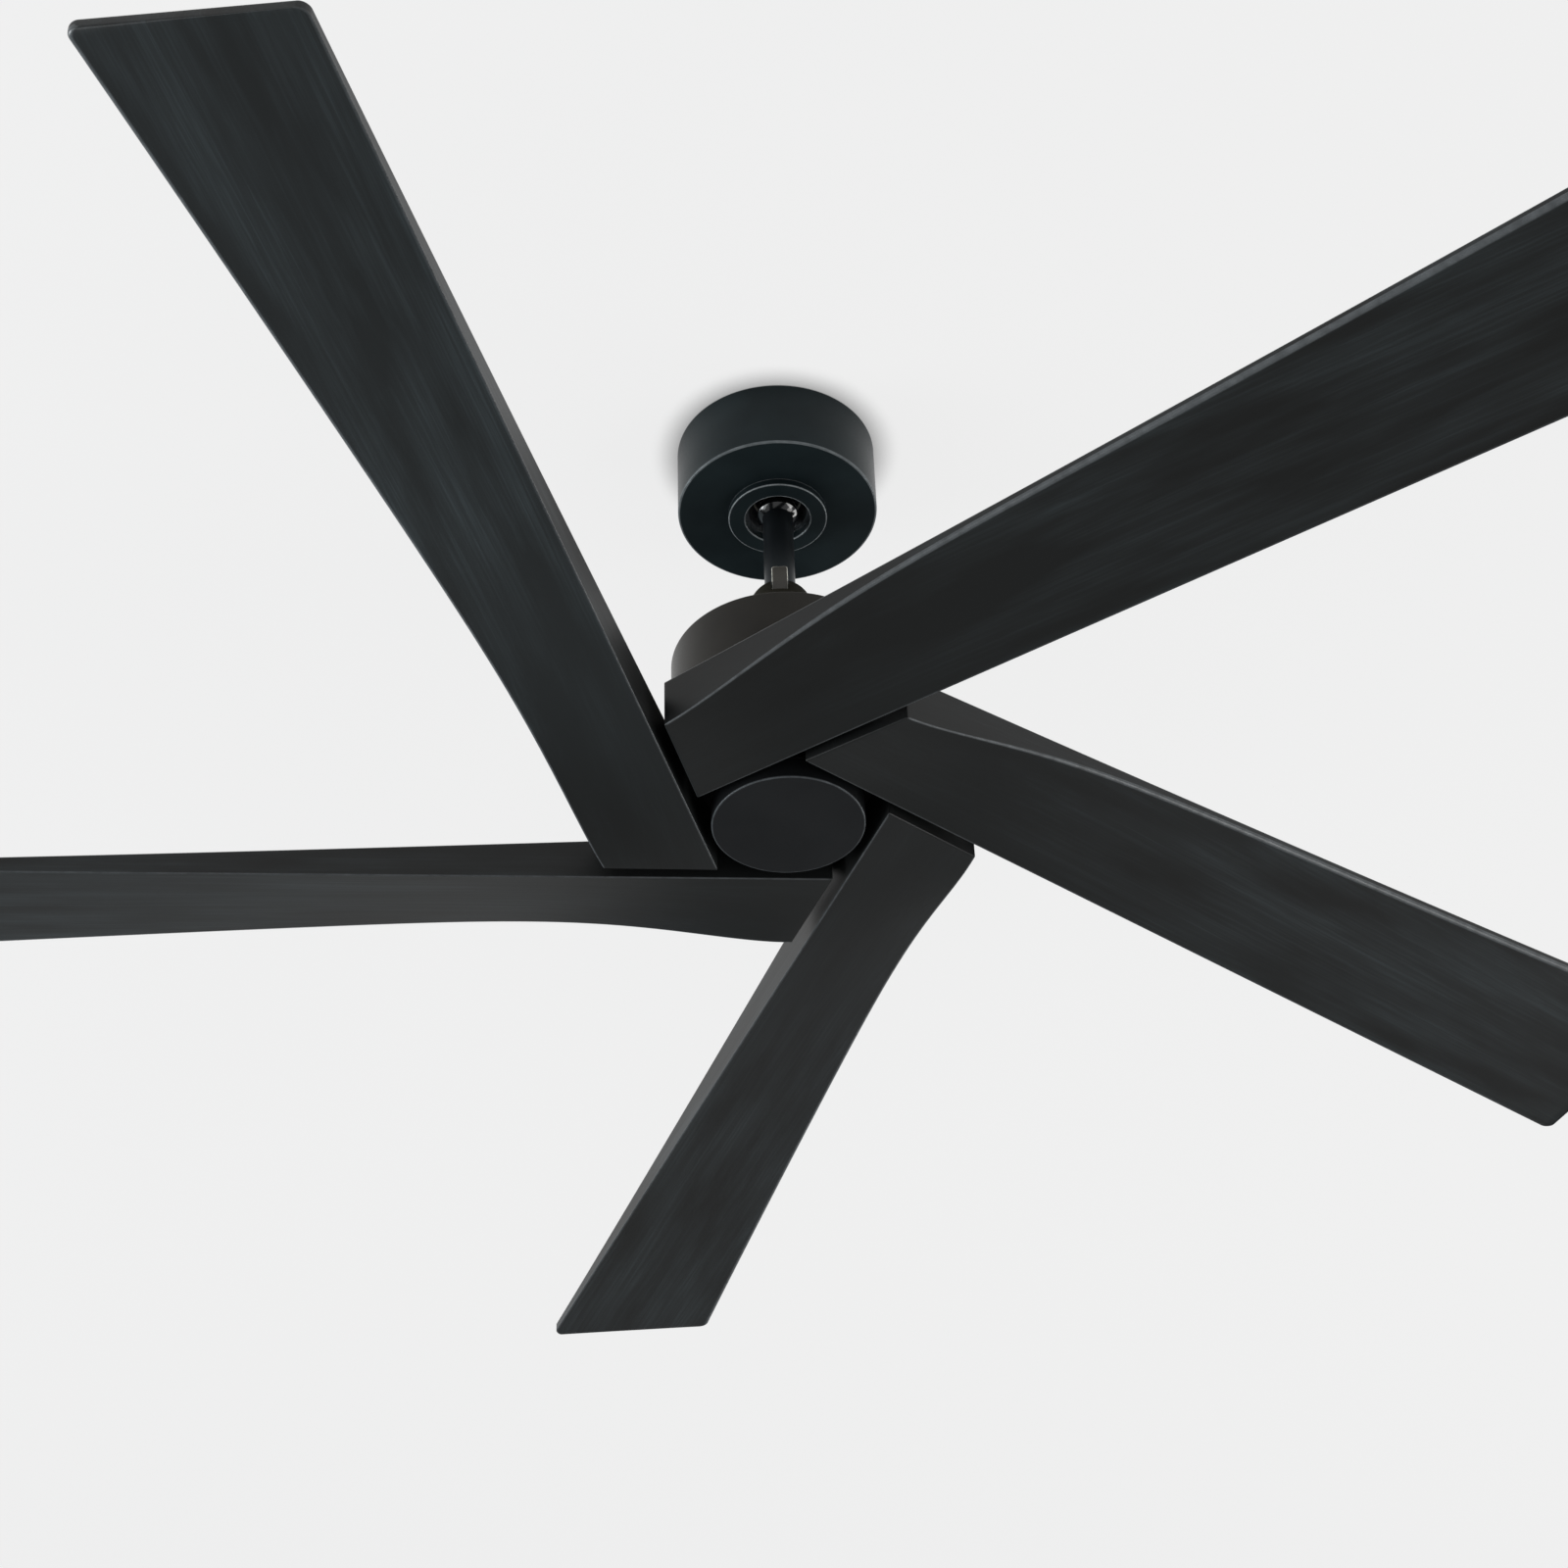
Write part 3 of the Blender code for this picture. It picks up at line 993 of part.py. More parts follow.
def blade_angles():
    return [FIRST_BLADE_ANGLE + math.tau * i / BLADE_COUNT for i in range(BLADE_COUNT)]


def root_line(across):
    """Where the root's end face lies: parallel to the next blade's inner edge."""
    turn = math.tau / BLADE_COUNT
    facing = HUB_EDGE_OFFSET - ROOT_GAP
    return (across * math.cos(turn) - facing) / math.sin(turn)


def outer_edge(along):
    """Across position and height of the outer lower edge at a distance along the blade."""
    start = root_line(HUB_EDGE_OFFSET + ROOT_WIDTH)
    run = (along - start) / (BLADE_REACH - start)
    bend = SPREAD_BEND_SHARE * run * (run - 1.0)
    across = HUB_EDGE_OFFSET + ROOT_WIDTH + OUTER_EDGE_SPREAD * (run + bend)
    travelled = max(along - start, 0.0) / RISE_LENGTH
    return across, OUTER_EDGE_RISE * (1.0 - math.exp(-travelled ** RISE_POWER))


def inner_edge(along):
    """Across position of the inner edge, and the height of its wall."""
    start = root_line(HUB_EDGE_OFFSET)
    across = HUB_EDGE_OFFSET + HUB_EDGE_DRIFT * (along - start) / (BLADE_REACH - start)
    left = min(max(BLADE_REACH - along, 0.0) / (BLADE_REACH - WALL_FALL_START), 1.0)
    wall = TIP_THICKNESS + (ROOT_HEIGHT - TIP_THICKNESS) * left ** WALL_FALL_POWER
    return across, wall


def blade_section(share, inset):
    """Loop of corner points at a share of the way out, running round from the inner lower edge."""
    inner_along = between(root_line(HUB_EDGE_OFFSET), BLADE_REACH, share)
    outer_along = between(root_line(HUB_EDGE_OFFSET + ROOT_WIDTH), BLADE_REACH, share)
    hub_x, wall = inner_edge(inner_along)
    rim_x, rise = outer_edge(outer_along)
    hub_x, rim_x = hub_x + inset, rim_x - inset
    top = ROOT_HEIGHT
    chamfer = BLADE_EDGE_CHAMFER
    low_slope = rise / (rim_x - hub_x) * chamfer
    top_slope = (top - wall) / (rim_x - hub_x) * chamfer
    loop = [
        (hub_x, chamfer), (hub_x + chamfer, low_slope),
        (rim_x - chamfer, rise - low_slope), (rim_x, rise + chamfer),
        (rim_x, top - chamfer), (rim_x - chamfer, top - top_slope),
        (hub_x + chamfer, wall + top_slope), (hub_x, wall - chamfer),
    ]
    width = rim_x - hub_x
    return [
        (x, between(inner_along, outer_along, (x - hub_x) / width), z) for x, z in loop
    ]


def between(start, end, share):
    return start + (end - start) * share


def blade_mesh():
    """Loft from the thick root, cut parallel to the next blade, to the thin pitched tip."""
    straight = 1.0 - TIP_CORNER_RADIUS / BLADE_REACH
    last = BLADE_STATION_SHARES[-1]
    rows = [blade_section(share / last * straight, 0.0) for share in BLADE_STATION_SHARES]
    for share in TIP_CORNER_SHARES[1:]:
        inset = TIP_CORNER_RADIUS * (1.0 - math.sqrt(1.0 - share ** 2))
        rows.append(blade_section(between(straight, 1.0, share), inset))
    size = len(rows[0])
    faces = []
    for row in range(len(rows) - 1):
        near, far = row * size, (row + 1) * size
        faces += [(near + i, near + (i + 1) % size, far + (i + 1) % size, far + i) for i in range(size)]
    faces.append(tuple(reversed(range(size))))
    faces.append(tuple(far + i for i in range(size)))
    return mesh_from([point for row in rows for point in row], [], faces)


def drilled_blade_mesh():
    """The blade with its blind screw holes in the root."""
    blade = bpy.data.objects.new("helper", blade_mesh())
    bpy.context.scene.collection.objects.link(blade)
    depth = BLADE_SCREW_LENGTH - HUB_PLATE_THICKNESS + CUT_OVERRUN
    for across, along in BLADE_SCREW_SPOTS:
        hole = cylinder_mesh(BLADE_SCREW_RADIUS + FIT_GAP, depth + CUT_OVERRUN, SCREW_STEPS)
        cut(blade, hole, (across, along, ROOT_HEIGHT - (depth - CUT_OVERRUN) / 2))
    tools = list(blade.children)
    mesh = finished_mesh(blade)
    for tool in tools:
        bpy.data.objects.remove(tool, do_unlink=True)
    return mesh


def make_blades():
    """Five like blades round the axis, each held up to the hub by three screws."""
    mesh = drilled_blade_mesh()
    screw = screw_mesh(
        BLADE_SCREW_HEAD_RADIUS, BLADE_SCREW_HEAD_HEIGHT, BLADE_SCREW_RADIUS, BLADE_SCREW_LENGTH,
    )
    for number, angle in enumerate(blade_angles(), 1):
        add_part(f"blade_{number}", mesh, "blade_black", (0.0, 0.0, height(0.0)), (0.0, 0.0, angle))
        for letter, (across, along) in zip("abc", BLADE_SCREW_SPOTS):
            place = blade_spot(angle, across, along, height(HUB_SEAT_H + FIT_GAP))
            add_part(f"blade_screw_{number}{letter}", screw, "bare_steel", place)


def make_cap():
    """Bottom cap on a carrier that a nut clamps to the still shaft."""
    face = CAP_FACE_THICKNESS - CAP_FACE_DROP
    inner = CAP_RADIUS - CAP_WALL
    cap = [
        (0.0, face), (inner, face), (inner, CAP_TOP_H), (CAP_RADIUS, CAP_TOP_H),
        (CAP_RADIUS, CAP_EDGE_CHAMFER - CAP_FACE_DROP), (CAP_RADIUS - CAP_EDGE_CHAMFER, -CAP_FACE_DROP),
        (0.0, -CAP_FACE_DROP),
    ]
    turned("bottom_cap", cap, "black_coat", FINE_STEPS, closed=False, base_z=height(0.0))
    hole = SHAFT_THREAD_RADIUS + FIT_GAP
    plate_low = CARRIER_TOP_H - CARRIER_THICKNESS
    rim_in = CARRIER_RADIUS - CARRIER_WALL
    rim_low = CARRIER_TOP_H - CARRIER_DEPTH
    carrier = [
        (hole, CARRIER_TOP_H), (CARRIER_RADIUS, CARRIER_TOP_H), (CARRIER_RADIUS, rim_low),
        (rim_in, rim_low), (rim_in, plate_low), (hole, plate_low),
    ]
    turned("cap_carrier", carrier, "black_plastic", TURN_STEPS, base_z=height(0.0))
    nut_outlines = [circle_outline(NUT_RADIUS, NUT_SIDES), circle_outline(hole, SMALL_STEPS)]
    nut = plate_mesh(nut_outlines, NUT_HEIGHT)
    add_part("carrier_nut", nut, "bare_steel", (0.0, 0.0, height(NUT_TOP_H - NUT_HEIGHT / 2)))


def make_pivot(name, z, parent=None):
    """An empty on the fan's axis that moving pieces hang from."""
    pivot = bpy.data.objects.new(name, None)
    PARTS.objects.link(pivot)
    pivot.parent = parent
    pivot.location.z = z
    return pivot


def hang_moving_pieces():
    """Hang the pieces on the rod from the ball's centre, and the turning ones from the spin axis."""
    moving = [part for part in PARTS.objects if not part.name.startswith(STILL_PIECES)]
    tilt = make_pivot("tilt_pivot", -BALL_DROP)
    spin_z = height(LOWER_BEARING_H)
    spin = make_pivot("spin_pivot", spin_z + BALL_DROP, tilt)
    for part in moving:
        turning = part.name.startswith(TURNING_PIECES)
        part.parent = spin if turning else tilt
        part.location.z -= spin_z if turning else -BALL_DROP


def build_fan():
    make_bracket()
    make_canopy()
    make_canopy_ring()
    make_canopy_screws()
    make_receiver()
    make_liner()
    make_ball()
    make_ball_hardware()
    make_down_rod()
    make_coupling()
    make_coupling_hardware()
    make_coupling_cover()
    make_housing()
    make_driver_board()
    make_shaft()
    make_retaining_ring()
    make_stator()
    make_bearings()
    make_rotor()
    make_hub()
    make_blades()
    make_cap()
    hang_moving_pieces()


build_fan()
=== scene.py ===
"""Looks of the five-blade pinwheel ceiling fan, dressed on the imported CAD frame.

Lengths are in metres and the origin is on the ceiling, on the fan's axis, so the fan hangs at
negative Z. Heights named *_H are measured up from the flat undersides of the blade roots.
"""

import math

import bmesh
import bpy
import numpy as np
from mathutils import Matrix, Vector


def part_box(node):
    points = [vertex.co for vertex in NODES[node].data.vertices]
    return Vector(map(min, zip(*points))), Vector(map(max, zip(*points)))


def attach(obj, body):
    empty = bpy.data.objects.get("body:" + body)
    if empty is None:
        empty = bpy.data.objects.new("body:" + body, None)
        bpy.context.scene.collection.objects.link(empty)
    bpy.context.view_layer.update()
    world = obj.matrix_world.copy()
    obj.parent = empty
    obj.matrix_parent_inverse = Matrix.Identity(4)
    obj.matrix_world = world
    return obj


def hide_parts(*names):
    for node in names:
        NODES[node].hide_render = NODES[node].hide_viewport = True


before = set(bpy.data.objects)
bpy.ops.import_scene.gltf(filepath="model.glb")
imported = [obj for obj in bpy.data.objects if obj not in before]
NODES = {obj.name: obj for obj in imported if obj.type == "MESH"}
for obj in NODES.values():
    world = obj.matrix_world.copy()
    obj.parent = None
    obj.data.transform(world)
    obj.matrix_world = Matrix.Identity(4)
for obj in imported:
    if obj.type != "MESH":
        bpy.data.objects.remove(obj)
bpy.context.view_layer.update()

MM = 0.001
CEILING_TO_BLADES = 423.5 * MM
FIT_GAP = 0.3 * MM

# Blade, in its own frame: X across it, Y along it, Z up from the root's underside
BLADE_COUNT = 5
FIRST_BLADE_ANGLE = math.radians(-121.56)
HUB_EDGE_OFFSET = 71.3 * MM
HUB_EDGE_DRIFT = 4.2 * MM
ROOT_WIDTH = 89.5 * MM
ROOT_HEIGHT = 44.6 * MM
ROOT_GAP = 10.3 * MM
BLADE_REACH = 857.0 * MM
OUTER_EDGE_SPREAD = 80.3 * MM
OUTER_EDGE_RISE = 36.4 * MM
RISE_LENGTH = 137.0 * MM
RISE_POWER = 1.62
SPREAD_BEND_SHARE = 0.12
TIP_THICKNESS = 8.0 * MM
WALL_FALL_START = 40.0 * MM
WALL_FALL_POWER = 1.2
TIP_CORNER_RADIUS = 9.0 * MM
END_EDGE_RADIUS = 1.0 * MM
# Lower hub-side, lower outer, upper outer and upper hub-side edges: their radii at the root, their
# wear, which is partly real wear and partly painted highlight, and how much the lower outer radius
# grows over its softening length
BLADE_EDGE_RADII = np.array([0.7, 0.8, 1.6, 1.2]) * MM
BLADE_EDGE_WEAR_AND_HIGHLIGHT = (0.55, 1.0, 0.5, 0.4)
OUTER_EDGE_SOFTENING = 2.8 * MM
SOFTENING_LENGTH = 170.0 * MM
# Sections along the blade, crowded towards the root by a power, and where points stand along each
# side of a section
BODY_SECTIONS = 72
TIP_SECTIONS = 14
SECTION_CROWDING = 1.35
SIDE_SHARES = np.array([0.01, 0.12, 0.25, 0.4, 0.55, 0.7, 0.85, 0.99])
# How far each blade's painted streaks are shifted from those of the one before
STREAK_SHIFT = np.array([0.37, 1.9, 0.0])

# Screws: head radius, head height, shank radius and length. Blade screws stand at places across and
# along the blade. A head's crown and its cross recess are given in shares of the head's sizes
BLADE_SCREW = (4.4 * MM, 3.4 * MM, 2.5 * MM, 27.0 * MM)
COUPLING_SCREW = (3.5 * MM, 2.6 * MM, 2.0 * MM, 12.0 * MM)
BLADE_SCREW_SPOTS = ((88.0 * MM, -18.0 * MM), (112.0 * MM, -4.0 * MM), (88.0 * MM, 42.0 * MM))
COUPLING_SCREW_COUNT = 3
HEAD_CROWN = 0.75
CROSS_HALF_WIDTH = 0.16
CROSS_SLOPE = 0.35
CROSS_DEPTH = 0.55
CROSS_REACH = 0.62
CROSS_STEEPNESS = 1.25
SHANK_CHAMFER_RUN = 0.2 * MM
SHANK_CHAMFER_DEPTH = 0.6 * MM

# Heights of the motor's pieces
HUB_LOW_H = ROOT_HEIGHT + FIT_GAP
HUB_SEAT_H = HUB_LOW_H + 6.0 * MM
HOUSING_LOW_H = HUB_SEAT_H + 7.1 * MM
HOUSING_TOP_H = HOUSING_LOW_H + 112.9 * MM
COUPLING_LOW_H = HOUSING_TOP_H + FIT_GAP
COLLAR_TOP_H = HOUSING_TOP_H + 69.1 * MM
ROD_END_H = HOUSING_TOP_H + 13.1 * MM
CAP_LOW_H = -0.6 * MM
CAP_FACE_H = 1.4 * MM
CAP_TOP_H = 20.0 * MM

# Motor housing and bottom cap. *_EDGE_RADII stand in the order of a profile's corners
HOUSING_RADIUS = 94.7 * MM
HOUSING_WALL = 2.0 * MM
HOUSING_EDGE_RADII = np.array([0.3, 1.0, 0.6, 0.6, 1.0, 0.3]) * MM
SHAFT_HOLE_RADIUS = 10.3 * MM
CAP_RADIUS = 62.8 * MM
CAP_WALL = 1.6 * MM
CAP_EDGE_RADII = np.array([0.0, 0.4, 0.5, 0.5, 0.9, 0.0]) * MM

# Rod and coupling with its two ears
ROD_RADIUS = 13.35 * MM
ROD_WALL = 2.5 * MM
ROD_TOP_DROP = 18.0 * MM
ROD_EDGE_RADIUS = 0.4 * MM
COLLAR_RADIUS = ROD_RADIUS + FIT_GAP + 5.85 * MM
COLLAR_EDGE_RADII = np.array([0.4, 0.8, 1.5, 0.8, 0.4, 0.4, 0.3, 0.3]) * MM
FLANGE_REACH = 14.5 * MM
FLANGE_THICKNESS = 6.0 * MM
EAR_HALF_WIDTH = 6.9 * MM
EAR_THICKNESS = 3.2 * MM
EAR_GAP = 0.55 * MM
EAR_FOOT_DROP = 5.85 * MM
EAR_RISE = 32.3 * MM
EAR_EDGE_RADIUS = 0.7 * MM
EAR_CORNER_RADIUS = 2.5 * MM

# Coupling cover: dome, flared skirt and the notch for the ears
DOME_RADIUS = COLLAR_RADIUS + 8.5 * MM
DOME_DROP = 6.0 * MM
DOME_WALL = 1.5 * MM
DOME_HOLE_RADIUS = ROD_RADIUS + 1.55 * MM
SKIRT_REACH = 19.0 * MM
NOTCH_WIDTH = 15.4 * MM
NOTCH_DEPTH = 26.0 * MM
NOTCH_HEIGHT = 27.0 * MM
NOTCH_REACH = 2.2 * DOME_RADIUS

# Hanger ball: its centre below the ceiling, its top flat and pin slot, and the neck round the rod
BALL_DROP = 40.0 * MM
BALL_RADIUS = 25.0 * MM
BALL_TOP_FLAT = 18.0 * MM
BALL_SLOT_WIDTH = 6.6 * MM
BALL_SLOT_HEIGHT = 9.0 * MM
BALL_SLOT_DROP = 3.5 * MM
BALL_SLOT_REACH = 3.0 * BALL_RADIUS
BALL_WAIST_RADIUS = 15.9 * MM
BALL_NECK_RADIUS = 18.2 * MM
BALL_NECK_DROP = 17.5 * MM

# Canopy and the trim ring round its hole
CANOPY_RADIUS = 88.0 * MM
CANOPY_HEIGHT = 71.0 * MM
CANOPY_WALL = 1.6 * MM
CANOPY_HOLE_RADIUS = 30.5 * MM
CANOPY_EDGE_RADII = np.array([0.5, 0.5, 1.5, 0.5, 0.5, 1.2]) * MM
CEILING_GAP = 0.5 * MM
RING_RADIUS = 43.5 * MM
RING_HOLE_RADIUS = 28.6 * MM
RING_DROP = 7.6 * MM
RING_WALL = 1.6 * MM
RING_EDGE_RADII = np.array([0.3, 0.3, 0.7, 0.7, 0.4, 0.4, 0.6, 0.6]) * MM

# Camera, found from the photograph: its place, and its turn, upward pitch and roll
CAMERA_PLACE = (0.0, -1.94785, -1.96794)
CAMERA_TURN = -0.0013
CAMERA_PITCH = 0.6839
CAMERA_ROLL = 0.0345
FOCAL_PIXELS = 3123.37
PHOTO_PIXELS = 1600
SENSOR_WIDTH = 36.0
VIEW_DEPTH = 60.0

# Ceiling: its half width, the colour it shows and its share, its paint under all other light, and
# the shadow line round the canopy: its colour, its reach and how open the sky is where it fades
CEILING_HALF_WIDTH = 12.0
CEILING_GLOW = "eeeeee"
CEILING_GLOW_SHARE = 0.94
CEILING_PAINT = "ebebeb"
SHADOW_LINE = "909090"
SHADOW_REACH = 26.0 * MM
SHADOW_RANGE = {"From Min": 0.42, "From Max": 0.97}
SHADOW_SAMPLES = 16

# Room behind the fan, and what it fades to: axis of the view's direction, start and end of the
# fade along it, and colour; far left, far right, straight down and in front
ROOM_BEHIND = "7e7f7f"
ROOM_FADES = (
    ("X", -0.20, -0.46, "a9b6bc"),
    ("X", 0.12, 0.45, "909295"),
    ("Z", -0.72, -0.92, "9c9c9b"),
    ("Y", 0.20, -0.10, "dedfe0"),
)

# Softboxes: direction from the fan, width and height in metres, watts and colour
FAN_MIDDLE = np.array([0.0, 0.0, -0.35])
SOFTBOX_DISTANCE = 4.0
SOFTBOXES = (
    ("left_softbox", (-0.97, -0.02, -0.25), (1.8, 1.8), 170.0, (0.95, 0.98, 1.0)),
    ("front_left_softbox", (-0.84, -0.32, -0.48), (2.2, 1.2), 32.0, (0.96, 0.99, 1.0)),
    ("right_softbox", (0.84, 0.44, -0.25), (1.8, 1.8), 78.0, (1.0, 0.99, 0.97)),
    ("front_right_softbox", (0.84, -0.32, -0.48), (2.2, 1.2), 60.0, (1.0, 0.99, 0.97)),
    ("low_right_softbox", (0.79, 0.02, -0.62), (1.4, 1.4), 24.0, (1.0, 0.99, 0.97)),
    ("back_softbox", (0.08, 0.76, -0.64), (1.4, 1.0), 2.5, (1.0, 1.0, 1.0)),
)

# Fineness of the meshes
FINE_STEPS = 160
BALL_STEPS = 96
ROD_STEPS = 72
SCREW_STEPS = 32
HEAD_RINGS = 15
EDGE_POINTS = 5
BALL_POINTS = 34
NECK_POINTS = 14
DOME_POINTS = 24
SKIRT_POINTS = 28
EAR_CORNER_POINTS = 8
MERGE_DISTANCE = 0.001 * MM
CREASE_ANGLE = math.radians(40.0)
# How far beyond an arc the flat next to it gets a point: at most a length, and a share of the flat
FLAT_KEEPER = 0.5 * MM
FLAT_KEEPER_SHARE = 1 / 3
# Limits of half a corner's angle, and of a length that is divided by
HALF_ANGLES = (0.01, math.pi / 2 - 0.001)
LEAST_LENGTH = 1e-9

# Kinds of shader node
COORDINATES, ATTRIBUTE, MAPPING = "ShaderNodeTexCoord", "ShaderNodeAttribute", "ShaderNodeMapping"
NOISE, WAVE, CELLS = "ShaderNodeTexNoise", "ShaderNodeTexWave", "ShaderNodeTexVoronoi"
RANGE, MATH, MIX, BUMP = "ShaderNodeMapRange", "ShaderNodeMath", "ShaderNodeMix", "ShaderNodeBump"
PRINCIPLED, SURFACE = "ShaderNodeBsdfPrincipled", "ShaderNodeOutputMaterial"
# Settings of the soft noise that every cloudy patch is drawn with
CLOUDS = {"Detail": 3.0, "Roughness": 0.5}
# The part of a noise's range that is spread out: about the middle third of it, or a little more
MIDDLE = {"From Min": 0.35, "From Max": 0.65}
WIDER = {"From Min": 0.3, "From Max": 0.7}
# Distance between bands of a wave texture of scale 1
WAVE_PERIOD = math.tau / 20.0


# ---------------------------------------------------------------- materials

def linear(code):
    """An sRGB hex colour as linear RGBA."""
    value = np.array([int(code[i:i + 2], 16) for i in (0, 2, 4)]) / 255
    value = np.where(value <= 0.04045, value / 12.92, ((value + 0.055) / 1.055) ** 2.4)
    return (*value.tolist(), 1.0)


def add_node(tree, kind, values=None):
    """Add a node with its properties, socket values and links.

    A value that is a node or an output is linked, a node by its first output. Any other value is
    set, and a hex code at a socket is a colour.
    """
    node = tree.nodes.new(kind)
    for key, value in (values or {}).items():
        if isinstance(value, bpy.types.Node):
            value = value.outputs[0]
        if isinstance(value, bpy.types.NodeSocket):
            tree.links.new(value, node.inputs[key])
        elif isinstance(key, str) and hasattr(node, key) and key not in node.inputs:
            setattr(node, key, value)
        else:
            node.inputs[key].default_value = linear(value) if isinstance(value, str) else value
    return node


def new_finish(name):
    """A material with an empty node tree, and that tree."""
    finish = bpy.data.materials.new(name)
    finish.use_nodes = True
    finish.node_tree.nodes.clear()
    return finish, finish.node_tree


def worn_and_highlit_edges(tree, place, colour, rough, rubbed):
    """Colour and roughness with the handled edges paler and smoother, in patches about 9 mm long; the
    paler colour is partly wear and partly painted highlight, for the bright lines the edges catch.
    """
    edge = add_node(tree, ATTRIBUTE, {"attribute_name": "edge_wear_and_highlight"}).outputs["Fac"]
    patches = add_node(tree, NOISE, {**CLOUDS, "Vector": place, "Scale": 1 / (9 * MM)})
    patches = add_node(tree, RANGE, {**WIDER, "Value": patches, "To Min": 0.55, "To Max": 1.0})
    share = add_node(tree, MATH, {"operation": "MULTIPLY", 0: edge, 1: patches})
    rough = add_node(tree, MATH, {"operation": "MULTIPLY_ADD", 0: share, 1: -0.14, 2: rough})
    # Paler edge colour: partly wear, partly painted highlight
    colour = add_node(tree, MIX, {"data_type": "RGBA", 0: share, 6: colour, 7: rubbed})
    return colour.outputs[2], rough


def powder_coated(name, dark, light, gloss, ior, rubbed="3c3f41", sheen="ffffff"):
    """Black powder coat, sprayed and baked: a fine even orange peel that softens every highlight.

    The peel of a real coat is about 0.4 mm across; it is drawn at 1.1 mm so that it shows. Where the
    coat has thinned over an edge it is rubbed paler; that paler edge colour is partly wear and partly
    painted highlight, for the bright lines that the edges catch. Its IOR is lower than the usual 1.5,
    because the photographed coats are this dark at a slant.
    """
    finish, tree = new_finish(name)
    place = add_node(tree, COORDINATES).outputs["Object"]
    cloud = add_node(tree, NOISE, {**CLOUDS, "Vector": place, "Scale": 1 / (60 * MM)})
    peel = add_node(tree, NOISE, {"Vector": place, "Scale": 1 / (1.1 * MM), "Detail": 2.0, "Roughness": 0.6})
    share = add_node(tree, RANGE, {**MIDDLE, "Value": cloud})
    colour = add_node(tree, MIX, {"data_type": "RGBA", 0: share, 6: dark, 7: light}).outputs[2]
    rough = add_node(tree, RANGE, {**WIDER, "Value": peel, "To Min": gloss - 0.04, "To Max": gloss + 0.05})
    colour, rough = worn_and_highlit_edges(tree, place, colour, rough, rubbed)
    normal = add_node(tree, BUMP, {"Height": peel, "Distance": 0.012 * MM, "Strength": 1.0})
    shader = add_node(tree, PRINCIPLED, {
        "Base Color": colour, "Roughness": rough, "Normal": normal, "IOR": ior, "Specular Tint": sheen,
    })
    add_node(tree, SURFACE, {"Surface": shader})
    return finish


def brushed_blade_paint(name):
    """Moulded ABS blade, rubbed down lengthwise and sprayed satin black.

    The rubbing leaves faint pale streaks along the blade, about 2 mm wide and 200 mm long, which come
    and go in clouds and fade towards the hub, and the spray a fine speckle, drawn at 1.4 mm so that
    it shows. The low IOR matches how dark the photographed blades are at a slant.
    """
    finish, tree = new_finish(name)
    place = add_node(tree, ATTRIBUTE, {"attribute_name": "blade_place"}).outputs["Vector"]
    drawn = add_node(tree, MAPPING, {"Vector": place, "Scale": (1.0, 0.012, 1.0)})
    long = add_node(tree, MAPPING, {"Vector": place, "Scale": (1.0, 0.16, 1.0)})
    streak = add_node(tree, NOISE, {
        "Vector": drawn, "Scale": 1 / (2.2 * MM), "Detail": 4.0, "Roughness": 0.65,
    })
    cloud = add_node(tree, NOISE, {**CLOUDS, "Vector": long, "Scale": 1 / (30 * MM)})
    speckle = add_node(tree, NOISE, {
        "Vector": place, "Scale": 1 / (1.4 * MM), "Detail": 2.0, "Roughness": 0.7,
    })

    in_plan = add_node(tree, COORDINATES).outputs["Object"]
    in_plan = add_node(tree, MAPPING, {"Vector": in_plan, "Scale": (1.0, 1.0, 0.0)})
    from_axis = add_node(tree, "ShaderNodeVectorMath", {"operation": "LENGTH", 0: in_plan}).outputs["Value"]
    outwards = add_node(tree, RANGE, {
        "Value": from_axis, "From Min": 160 * MM, "From Max": 420 * MM, "To Min": 0.15, "To Max": 1.0,
    })
    cloud = add_node(tree, RANGE, {"Value": cloud, "From Min": 0.36, "From Max": 0.66})
    clouded = add_node(tree, MATH, {"operation": "MULTIPLY", 0: outwards, 1: cloud})
    shown = add_node(tree, RANGE, {"Value": streak, "From Min": 0.45, "From Max": 0.75})
    shown = add_node(tree, MATH, {"operation": "MULTIPLY", 0: clouded, 1: shown})
    ground = add_node(tree, MIX, {"data_type": "RGBA", 0: clouded, 6: "0f1010", 7: "191c1d"}).outputs[2]
    colour = add_node(tree, MIX, {"data_type": "RGBA", 0: shown, 6: ground, 7: "272c2e"}).outputs[2]
    rough = add_node(tree, RANGE, {**WIDER, "Value": streak, "To Min": 0.41, "To Max": 0.37})
    # Paler edges: partly wear, partly painted highlight for the bright lines the edges catch
    colour, rough = worn_and_highlit_edges(tree, place, colour, rough, "484b4d")
    grooves = add_node(tree, BUMP, {"Height": streak, "Distance": 0.008 * MM, "Strength": 1.0})
    normal = add_node(tree, BUMP, {
        "Height": speckle, "Distance": 0.03 * MM, "Strength": 1.0, "Normal": grooves,
    })
    shader = add_node(tree, PRINCIPLED, {
        "Base Color": colour, "Roughness": rough, "Normal": normal, "IOR": 1.31,
    })
    add_node(tree, SURFACE, {"Surface": shader})
    return finish


